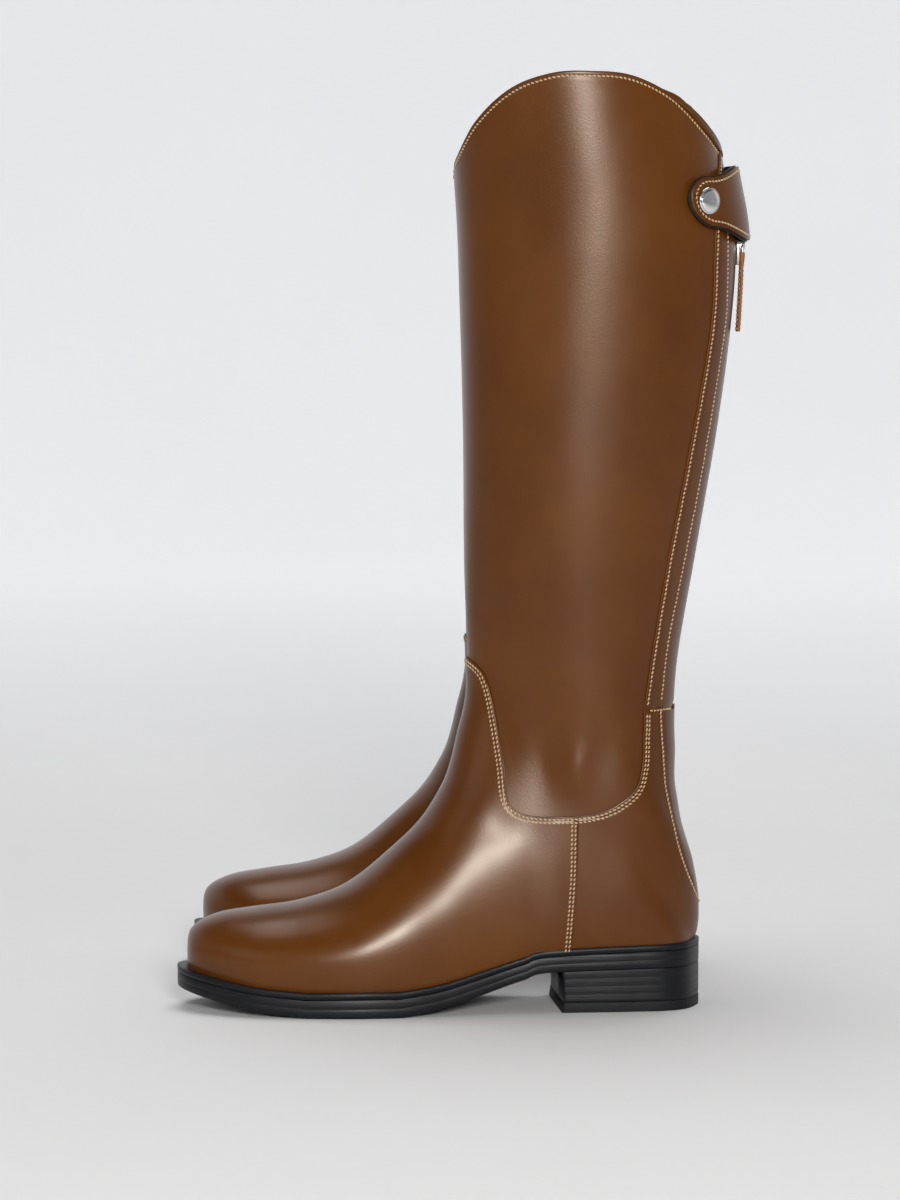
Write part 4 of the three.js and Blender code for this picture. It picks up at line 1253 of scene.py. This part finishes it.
strap_axis = from_row @ Vector(joints["left_strap_open"]["pos_m"])
STRAP_BEND = (strap_axis, strap_axis + Vector((7, 14.5, 0)))    # where the bend starts and ends
strap_way = np.stack([np.zeros(160), np.linspace(STRAP_REACH, -STRAP_INNER, 160)], -1)
strap_way[:, 0] = at_height(strap_way[:, 1], STRAP_LINE)
STRAP_LONG = length_of(strap_way)
HALF_END, HALF_BACK, END_TURN = 12.6, 19, math.radians(50)
WIDENS_OVER, NARROWS_FROM, NARROWS_BY = 30, 62, 5
STRAP_MIDDLE, STRAP_DROP = 427.6, 1.4   # height of its middle at the snap, and how far it sinks
C_PER_MM = 0.0075                       # carries the backing on past the end of the way
STRAP_ROW = 2.4                         # sewn row, mm inside the edge
print("strap", round(STRAP_LONG), "mm long, bends from", [round(v, 1) for v in strap_axis])


def strap_piece(distance, grow):
    """The strap as a grid of columns. The first ones bow round its end, the rest are straight."""
    rows = np.concatenate([[-1, -0.97, -0.93, -0.88], np.linspace(-0.8, 0.8, 19),
                           [0.88, 0.93, 0.97, 1]])
    half_end = HALF_END + grow
    reach, height = [], []
    for t in np.linspace(0, 1, 12):         # bowed columns round the end
        turn = END_TURN + (math.pi / 2 - END_TURN) * t
        tip, side = half_end * t, half_end * (1 - math.cos(turn))
        angle = rows * turn
        reach.append(tip + (side - tip) * (1 - np.cos(angle)) / (1 - math.cos(turn)) - grow)
        height.append(half_end * np.sin(angle))
    for far in np.linspace(half_end, STRAP_LONG, 46)[1:]:
        half = half_end + (HALF_BACK - HALF_END) * ease((far - half_end) / WIDENS_OVER)
        half -= NARROWS_BY * ease((far - NARROWS_FROM) / (STRAP_LONG - NARROWS_FROM))
        reach.append(np.full(len(rows), far - grow))
        height.append(half * np.sin(rows * math.pi / 2))
    reach, height = np.array(reach), np.array(height)
    along = np.clip(reach, -1, STRAP_LONG) / STRAP_LONG
    c = by_length(strap_way, np.clip(along, 0, 1))[..., 1] - np.minimum(reach, 0) * C_PER_MM
    middle = STRAP_MIDDLE - STRAP_DROP * ease(reach / WIDENS_OVER)
    s = at_height(c, middle + height)
    lift = strap_lift(c) + distance
    return s, c, lift, reach, height


def strap_leather(distance, grow, grooved=True):
    s, c, lift, reach, height = strap_piece(distance, grow)
    half = np.abs(height).max(1, keepdims=True)
    near = np.minimum(half - np.abs(height), np.maximum(reach - reach[0], 0) + 3 * (height == 0))
    near = np.where(np.arange(len(reach))[:, None] < 2, np.minimum(near, 1.5), near)
    if grooved:
        lift = lift - groove(near, (STRAP_ROW,))
    points = laid(s, c, lift)
    return grid_mesh(points, np.exp(-near / 2.0) * 0.6, np.stack([s, c], -1))


publish("strap", lambda: strap_leather(STRAP_FACE, 0), "snap_strap",
        (BROWN, CUT_EDGE_AND_HIGHLIGHT), ("strap",), thick(STRAP_THICK, 0.25), STRAP_BEND)
publish("strap_backing", lambda: strap_leather(BACKING_THICK, 0.7, False), "snap_strap",
        (BACKING, BACKING), ("strap_lining",), thick(BACKING_THICK, 0.2),
        STRAP_BEND)


# %% [markdown]
# ## The snap
# The cap is pressed from sheet metal and is round about its own axis. A flattened sphere
# would lack its small rim, so a profile is spun round the axis that the frame gives.

# %% Snap
cap_low, cap_high = own_box("snap_cap")
stud_low, stud_high = own_box("snap_stud")
cap_centre, stud_centre = (cap_low + cap_high) / 2, (stud_low + stud_high) / 2
snap_axis = (cap_centre - stud_centre).normalized()
CAP_RADIUS = (cap_high.z - cap_low.z) / 2
CAP_SINK = 1.1                          # how far the dome sits down on the strap


def turned(profile, centre):
    """A profile of (radius, height) turned round the snap's own axis."""
    bm = bmesh.new()
    bm.verts.layers.float.new("edge")
    line = [bm.verts.new((r, 0, h)) for r, h in profile]
    edges = [bm.edges.new(pair) for pair in zip(line, line[1:])]
    bmesh.ops.spin(bm, geom=line + edges, cent=(0, 0, 0), axis=(0, 0, 1),
                   angle=2 * math.pi, steps=48, use_merge=True)
    bmesh.ops.remove_doubles(bm, verts=bm.verts, dist=0.002)
    bmesh.ops.recalc_face_normals(bm, faces=bm.faces)
    turn = snap_axis.to_track_quat("Z", "Y").to_matrix().to_4x4()
    bmesh.ops.transform(bm, matrix=Matrix.Translation(centre) @ turn, verts=bm.verts)
    return bm


def snap_cap():
    """A shallow dome with a rolled rim."""
    r = CAP_RADIUS
    dome = [(r * 0.86 * math.sin(a), 0.9 + 1.5 * math.cos(a)) for a in np.linspace(0, 1.35, 14)]
    rim = [(r * 0.9, 1.25), (r * 0.95, 1.3), (r, 0.9), (r, 0.3), (r * 0.94, -0.3), (0, -0.3)]
    return turned(dome + rim, cap_centre - snap_axis * CAP_SINK)


publish("snap_cap", snap_cap, "snap_strap", (SILVER,), ("snap_cap",))


# %% [markdown]
# ## Stitches
# A stitch is a short piece of thread, thick in the middle, that sinks into the leather at
# both ends. One stitch is a bevelled little bar of a few dozen faces at most, and a row of
# them follows a seam at a fixed distance and a fixed pitch. A bump pattern would be quicker,
# but real thread catches the light and stays in the mesh.

# %% One stitch
STITCH, STITCH_PITCH, THREAD_HALF = 1.95, 2.35, 0.37
SLANT = 0.35                            # radians that a stitch leans across its row


def stitch(bm, place, out, along):
    """Five rings of thread, from the needle hole up over the leather and down again."""
    side = np.cross(along, out)
    side /= np.linalg.norm(side)
    along, side = (along * math.cos(SLANT) + side * math.sin(SLANT),
                   side * math.cos(SLANT) - along * math.sin(SLANT))
    rings = []
    for share, size, rise in ((-0.5, 0.5, -0.35), (-0.3, 1, 0.05), (0, 1.08, 0.16),
                              (0.3, 1, 0.05), (0.5, 0.5, -0.35)):
        middle = place + along * share * STITCH + out * rise
        ring = []
        for k in range(6):
            a = math.pi / 3 * k
            ring.append(bm.verts.new(middle + (side * math.cos(a) * 1.15 + out * math.sin(a))
                                     * size * THREAD_HALF))
        rings.append(ring)
    for low, high in zip(rings, rings[1:]):
        for k in range(6):
            bm.faces.new((low[k], low[(k + 1) % 6], high[(k + 1) % 6], high[k]))
    bm.faces.new(rings[0][::-1])
    bm.faces.new(rings[-1])


# %% A row of stitches
def sew(bm, line, lift, start=1.5, stop=1.5):
    """One row of stitches along an (s, c) line, at this height over the last."""
    line = np.asarray(line, float)
    count = max(int((length_of(line) - start - stop) / STITCH_PITCH), 1)
    total = length_of(line)
    shares = (start + STITCH_PITCH * (np.arange(count) + 0.5)) / total
    reach = STITCH * 0.5 / total
    middle, ahead, behind = (by_length(line, shares + step) for step in (0, reach, -reach))
    base = skin(middle[:, 0], middle[:, 1])
    height = lift(base) if callable(lift) else np.full(count, float(lift))
    place = laid(middle[:, 0], middle[:, 1], height)
    out = normal_at(middle[:, 0], middle[:, 1])
    along = skin(ahead[:, 0], ahead[:, 1]) - skin(behind[:, 0], behind[:, 1])
    along /= np.linalg.norm(along, axis=1, keepdims=True)
    for k in range(count):
        stitch(bm, place[k], out[k], along[k])


def beside(line, distance):
    """A row that follows an (s, c) line at a distance in mm, measured on the last."""
    line = np.asarray(line, float)
    ds, dc = 1e-3, 1e-3
    base = skin(line[:, 0], line[:, 1])
    per_s = (skin(line[:, 0] + ds, line[:, 1]) - base) / ds
    per_c = (skin(line[:, 0], line[:, 1] + dc) - base) / dc
    along = np.gradient(base, axis=0)
    step = np.cross(normal_at(line[:, 0], line[:, 1]), along)
    step *= distance / np.maximum(np.linalg.norm(step, axis=1, keepdims=True), 1e-9)
    # solve the small 2 x 2 system that turns a step in space into a step in s and c
    aa, bb = np.sum(per_s * per_s, 1), np.sum(per_c * per_c, 1)
    ab = np.sum(per_s * per_c, 1)
    ra, rb = np.sum(per_s * step, 1), np.sum(per_c * step, 1)
    det = np.maximum(aa * bb - ab * ab, 1e-9)
    return line + np.stack([(ra * bb - rb * ab) / det, (rb * aa - ra * ab) / det], -1)


SUNK = -0.06                            # the middle of a stitch against the leather


def both_ways(bm, line, distance, lift, **ends):
    """The same row on the outer and on the inner side of the boot."""
    row = beside(line, distance)
    sew(bm, row, lift, **ends)
    sew(bm, inner(row), lift, **ends)


def over(lift):
    """The height of the stitches on leather that lies at this lift."""
    return (lambda base: lift(base) + SUNK) if callable(lift) else lift + SUNK


# %% The seams of the upper
def seam_stitches():
    """Every row on the vamp, the quarters, the strips and the stay."""
    bm = bmesh.new()
    bm.verts.layers.float.new("edge")
    front_u = on_last(U_FRONT[1:])
    rear_u = on_last(U_REAR)
    side = on_last(SIDE_SEAM)
    placket = on_last(PLACKET_EDGE[:-3])
    stay = on_last(STAY_EDGE)
    cross = joined(on_last([(y, CROSS_SEAM - ROW_ONE) for y in np.linspace(108.5, 122, 10)]),
                   back_line(0.8, np.array([CROSS_SEAM - ROW_ONE])))
    for distance in (ROW_ONE, ROW_TWO):
        both_ways(bm, front_u, -distance, over(vamp_lift), stop=0)
        both_ways(bm, rear_u, -distance, over(OVER), start=-0.5)
        both_ways(bm, side, -distance, over(TOPMOST), start=4)
    both_ways(bm, placket, -ROW_ONE, over(strip_lift))
    rear_row = on_last(smooth_line([(116, 163), (118, 183), (121, 203), (128.6, 241),
                                    (138, 290), (149, 359), (150.4, 385), (150.4, 440)], 90))
    both_ways(bm, rear_row, 0.0, over(strip_lift))
    both_ways(bm, stay, -ROW_ONE, over(stay_lift))
    both_ways(bm, cross, 0.0, lambda base: SUNK + np.where(base[..., 1] < 115.5, OVER,
                                                           stay_lift(base)))
    return bm


publish("seam_stitches", seam_stitches, "boot", (THREAD,))


def top_stitches():
    """One row below the top line, on each side."""
    bm = bmesh.new()
    bm.verts.layers.float.new("edge")
    outer_top = top_line(TOP_OUTER, CORNER_OUTER)
    inner_top = inner(top_line(TOP_INNER, CORNER_INNER))
    sew(bm, beside(outer_top, TOP_ROW), SHAFT + SUNK)
    sew(bm, beside(inner_top, -TOP_ROW), SHAFT + SUNK)
    return bm


publish("top_stitches", top_stitches, "boot", (THREAD,))


# %% Rows on the strap and on the tab
def strap_stitches():
    """A row 2.4 mm inside the edge of the strap, on the strap's own curved face."""
    bm = bmesh.new()
    bm.verts.layers.float.new("edge")
    s, c, lift = strap_piece(STRAP_FACE, -STRAP_ROW)[:3]
    ring = [(k, 0) for k in range(len(s) - 5, 0, -1)] + [(0, j) for j in range(s.shape[1])] \
        + [(k, s.shape[1] - 1) for k in range(1, len(s) - 5)]
    path = np.array([(s[i, j], c[i, j], lift[i, j] + SUNK) for i, j in ring])
    places = laid(path[:, 0], path[:, 1], path[:, 2])
    steps = np.concatenate([[0], np.cumsum(np.linalg.norm(np.diff(places, axis=0), axis=1))])
    for middle in np.arange(1.5, steps[-1] - 1.5, STITCH_PITCH):
        here, ahead, behind = (np.array([np.interp(middle + d, steps, places[:, k])
                                         for k in range(3)]) for d in (0, 0.6, -0.6))
        where = [np.interp(middle, steps, path[:, k]) for k in range(2)]
        along = (ahead - behind) / np.linalg.norm(ahead - behind)
        out = normal_at(*where)
        out = out - along * np.dot(out, along)
        stitch(bm, here, out / np.linalg.norm(out), along)
    return bm


publish("strap_stitches", strap_stitches, "snap_strap", (THREAD,),
        bend=STRAP_BEND)


TAB_MARGIN, TAB_FACE = 1.4, 0.76        # the row from the tab's edge, and from its middle


def tab_stitches():
    """A closed row on each face of the tab."""
    bm = bmesh.new()
    bm.verts.layers.float.new("edge")
    y, x = (tab_low.y + tab_high.y) / 2, tab_high.x - TAB_MARGIN
    low, high = tab_low.z + 1.6, tab_high.z - 8
    for face in (1, -1):
        for side in (x, -x):
            for z in np.arange(low, high, STITCH_PITCH):
                sway = tab_sway(z)
                place = np.array([side, y + sway + face * (TAB_FACE + SUNK), z])
                stitch(bm, place, np.array([0, float(face), 0]), np.array([0, 0, 1.0]))
        for across in np.arange(-x + STITCH_PITCH / 2, x, STITCH_PITCH):
            for z in (low - 0.2, high + 0.8):
                place = np.array([across, y + tab_sway(z) + face * (TAB_FACE + SUNK), z])
                stitch(bm, place, np.array([0, float(face), 0]), np.array([1.0, 0, 0]))
    return bm


publish("tab_stitches", tab_stitches, "pull", (THREAD,))


# %% [markdown]
# ## Inside the boot
# A felt counter keeps the heel in shape and a felt puff keeps the toe, both between leather
# and lining. They are patches like the leather. The pieces that the frame already draws
# well enough, because the boot hides them, keep their shape and get a finish of their own.

# %% Stiffeners
STIFF_OFFSET, STIFF_THICK = -0.5, 1.0


def counter():
    """Felt round the heel, one half on each side."""
    front = on_last(smooth_line([(80, 30), (80, 60), (84, 80)], 20))
    front[0, 1] = 0
    top = on_last([(84, 80), (95, 82), (110, 83), (124, 84), (133, 84)])
    top[-1, 1] = 0
    rear = np.stack([np.linspace(HEEL_S, top[-1, 0], 30), np.zeros(30)], -1)
    foot = np.stack([np.linspace(front[0, 0], HEEL_S, 40), np.zeros(40)], -1)
    bm = patch(foot, top, front, rear, STIFF_OFFSET, 5.0)
    other = patch(inner(foot), inner(top), inner(front), inner(rear), STIFF_OFFSET, 5.0)
    return merged(bm, other)


def merged(bm, other):
    spare = bpy.data.meshes.new("spare")
    other.to_mesh(spare)
    bm.from_mesh(spare)
    bpy.data.meshes.remove(spare)
    other.free()
    return bm


def puff():
    """Felt over the toe."""
    reach = on_last([(-90, 40)])[0][0]
    low = np.stack([np.full(41, TOE_S), np.linspace(0, 2, 41)], -1)
    high = np.stack([np.full(41, reach), np.linspace(0, 2, 41)], -1)
    side = np.stack([np.linspace(TOE_S, reach, 20), np.zeros(20)], -1)
    return patch(low, high, side, side + [0, 2], STIFF_OFFSET, 5.0)


publish("heel_counter", counter, "boot", (FELT, FELT), ("heel_counter",),
        thick(STIFF_THICK, 0.1))
publish("toe_puff", puff, "boot", (FELT, FELT), ("toe_puff",),
        thick(STIFF_THICK, 0.1))


# %% Finishes for the frame's own pieces
KEPT = {"insole_board": BOARD, "cork_filler": CORK, "shank": STEEL, "sock_liner": LINING_SKIN,
        "zip_guard": LINING_SKIN, "snap_stud": SILVER}
for side in SIDES:
    for part, finish_material in KEPT.items():
        kept = frame["nodes"][f"{side}_{part}"]
        kept.data.materials.clear()
        kept.data.materials.append(finish_material)
print(len(KEPT) * len(SIDES), "pieces keep the frame's shape")


# %% [markdown]
# ## Stage, light and camera
# The boots stand in the middle of a wide round bowl of pale paper, so they can be looked at
# from every side and no edge of the paper ever shows. A plane bent up at the back would be
# simpler, but its wall would hide the boots from behind. Only the far wall behind the boots
# glows a little, as a lit backdrop does.

# %% Paper bowl
BOWL_RADIUS, COVE, WALL_TOP = 6.0, 2.2, 4.5


def paper_bowl():
    bm = bmesh.new()
    line = [bm.verts.new((0, 0, 0)), bm.verts.new((BOWL_RADIUS - COVE, 0, 0))]
    edges = [bm.edges.new(line)]
    turned_part = bmesh.ops.spin(bm, geom=[line[1]], cent=(BOWL_RADIUS - COVE, 0, COVE),
                                 axis=(0, -1, 0), angle=math.pi / 2, steps=16)["geom_last"]
    last = [v for v in turned_part if isinstance(v, bmesh.types.BMVert)][0]
    edges.append(bm.edges.new((last, bm.verts.new((BOWL_RADIUS, 0, WALL_TOP)))))
    bmesh.ops.spin(bm, geom=bm.verts[:] + bm.edges[:], cent=(0, 0, 0), axis=(0, 0, 1),
                   angle=2 * math.pi, steps=72, use_merge=True)
    bmesh.ops.remove_doubles(bm, verts=bm.verts, dist=0.0005)
    bmesh.ops.recalc_face_normals(bm, faces=bm.faces)
    if sum(face.normal.z for face in bm.faces) < 0:
        bmesh.ops.reverse_faces(bm, faces=bm.faces)
    mesh = bpy.data.meshes.new("paper_bowl")
    bm.to_mesh(mesh)
    bm.free()
    mesh.shade_smooth()
    return mesh


PAPER, paper_shader = new_material("pale_paper", (0.8, 0.8, 0.8), 0.75)
paper_place = node(PAPER, "TexCoord").outputs["Object"]
paper_grain = node(PAPER, "TexNoise", {"Vector": paper_place, "Scale": 2.0, "Detail": 3.0})
paper_mix = node(PAPER, "Mix", {"Factor": paper_grain.outputs["Fac"],
                                "A": (0.77, 0.77, 0.775, 1), "B": (0.83, 0.83, 0.83, 1)},
                 data_type="RGBA")
link(PAPER, paper_mix.outputs["Result"], paper_shader.inputs["Base Color"])
paper_x = node(PAPER, "SeparateXYZ", {"Vector": paper_place}).outputs["X"]
paper_glow = node(PAPER, "MapRange", {"Value": paper_x, "From Min": -0.3, "From Max": -4.0,
                                      "To Min": 0.0, "To Max": 0.42},
                  interpolation_type="SMOOTHSTEP")
link(PAPER, paper_glow.outputs["Result"], paper_shader.inputs["Emission Strength"])
paper_shader.inputs["Emission Color"].default_value = (0.95, 0.965, 1, 1)
bowl = bpy.data.objects.new("paper_bowl", paper_bowl())
bowl.data.materials.append(PAPER)
bpy.context.scene.collection.objects.link(bowl)


# %% [markdown]
# ### Lamps
# A small lamp above the camera draws the narrow highlights of polished leather. A wide weak
# one on the left opens the shadows, and a wide one overhead, a little behind the boots,
# lights the paper. An image of a studio could light it all, but lamps are easier to move.

# %% Lamps
def lamp(name, place, aim, power, size, tint=(1, 1, 1)):
    light = bpy.data.lights.new(name, "AREA")
    light.energy, light.size, light.color = power, size, tint
    holder = bpy.data.objects.new(name, light)
    bpy.context.scene.collection.objects.link(holder)
    holder.location = place
    holder.rotation_euler = (Vector(aim) - Vector(place)).to_track_quat("-Z", "Y").to_euler()


AIM = (0, 0, 0.25)
lamp("key", (3.05, 0.3, 0.88), AIM, 74, 0.5, (1, 0.98, 0.95))
lamp("fill", (2.4, -2.6, 1.5), AIM, 10, 2.0)
lamp("top", (-0.7, 0.1, 3.0), (-0.7, 0, 0), 54, 2.2)
world = bpy.data.worlds.new("studio")
world.use_nodes = True
backlight = world.node_tree.nodes["Background"].inputs
backlight["Color"].default_value = (0.92, 0.95, 1, 1)
backlight["Strength"].default_value = 0.05
bpy.context.scene.world = world
bpy.context.scene.view_settings.view_transform = "Standard"
print(len(bpy.data.lights), "lamps")


# %% [markdown]
# ### Camera
# A long lens keeps the proportions of the boots true. The eye is as high as the upper shaft
# and looks slightly down, straight at the outer side of the left boot.

# %% Camera
EYE_HEIGHT, EYE_DISTANCE, FRAME_HEIGHT, SENSOR = 0.394, 2.65, 0.636, 36
LOOK_AT_HEIGHT = 0.217
boot_x = (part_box("left_outsole")[0][0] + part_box("left_outsole")[1][0]) / 2
lens = bpy.data.cameras.new("camera")
lens.sensor_width = SENSOR
lens.sensor_fit = "VERTICAL"
lens.sensor_height = SENSOR
lens.lens = SENSOR * EYE_DISTANCE / FRAME_HEIGHT
camera = bpy.data.objects.new("camera", lens)
bpy.context.scene.collection.objects.link(camera)
camera.location = (boot_x + EYE_DISTANCE, -0.006, EYE_HEIGHT)
pitch = math.atan2(EYE_HEIGHT - LOOK_AT_HEIGHT, EYE_DISTANCE)
camera.rotation_euler = (math.pi / 2 - pitch, 0, math.pi / 2)
bpy.context.scene.camera = camera
print("camera", [round(v, 3) for v in camera.location], "lens", round(lens.lens), "mm")


# %% Sizes and the end
bpy.context.view_layer.update()
print(len(made), "pieces made,", len(KEPT) * len(SIDES), "kept")
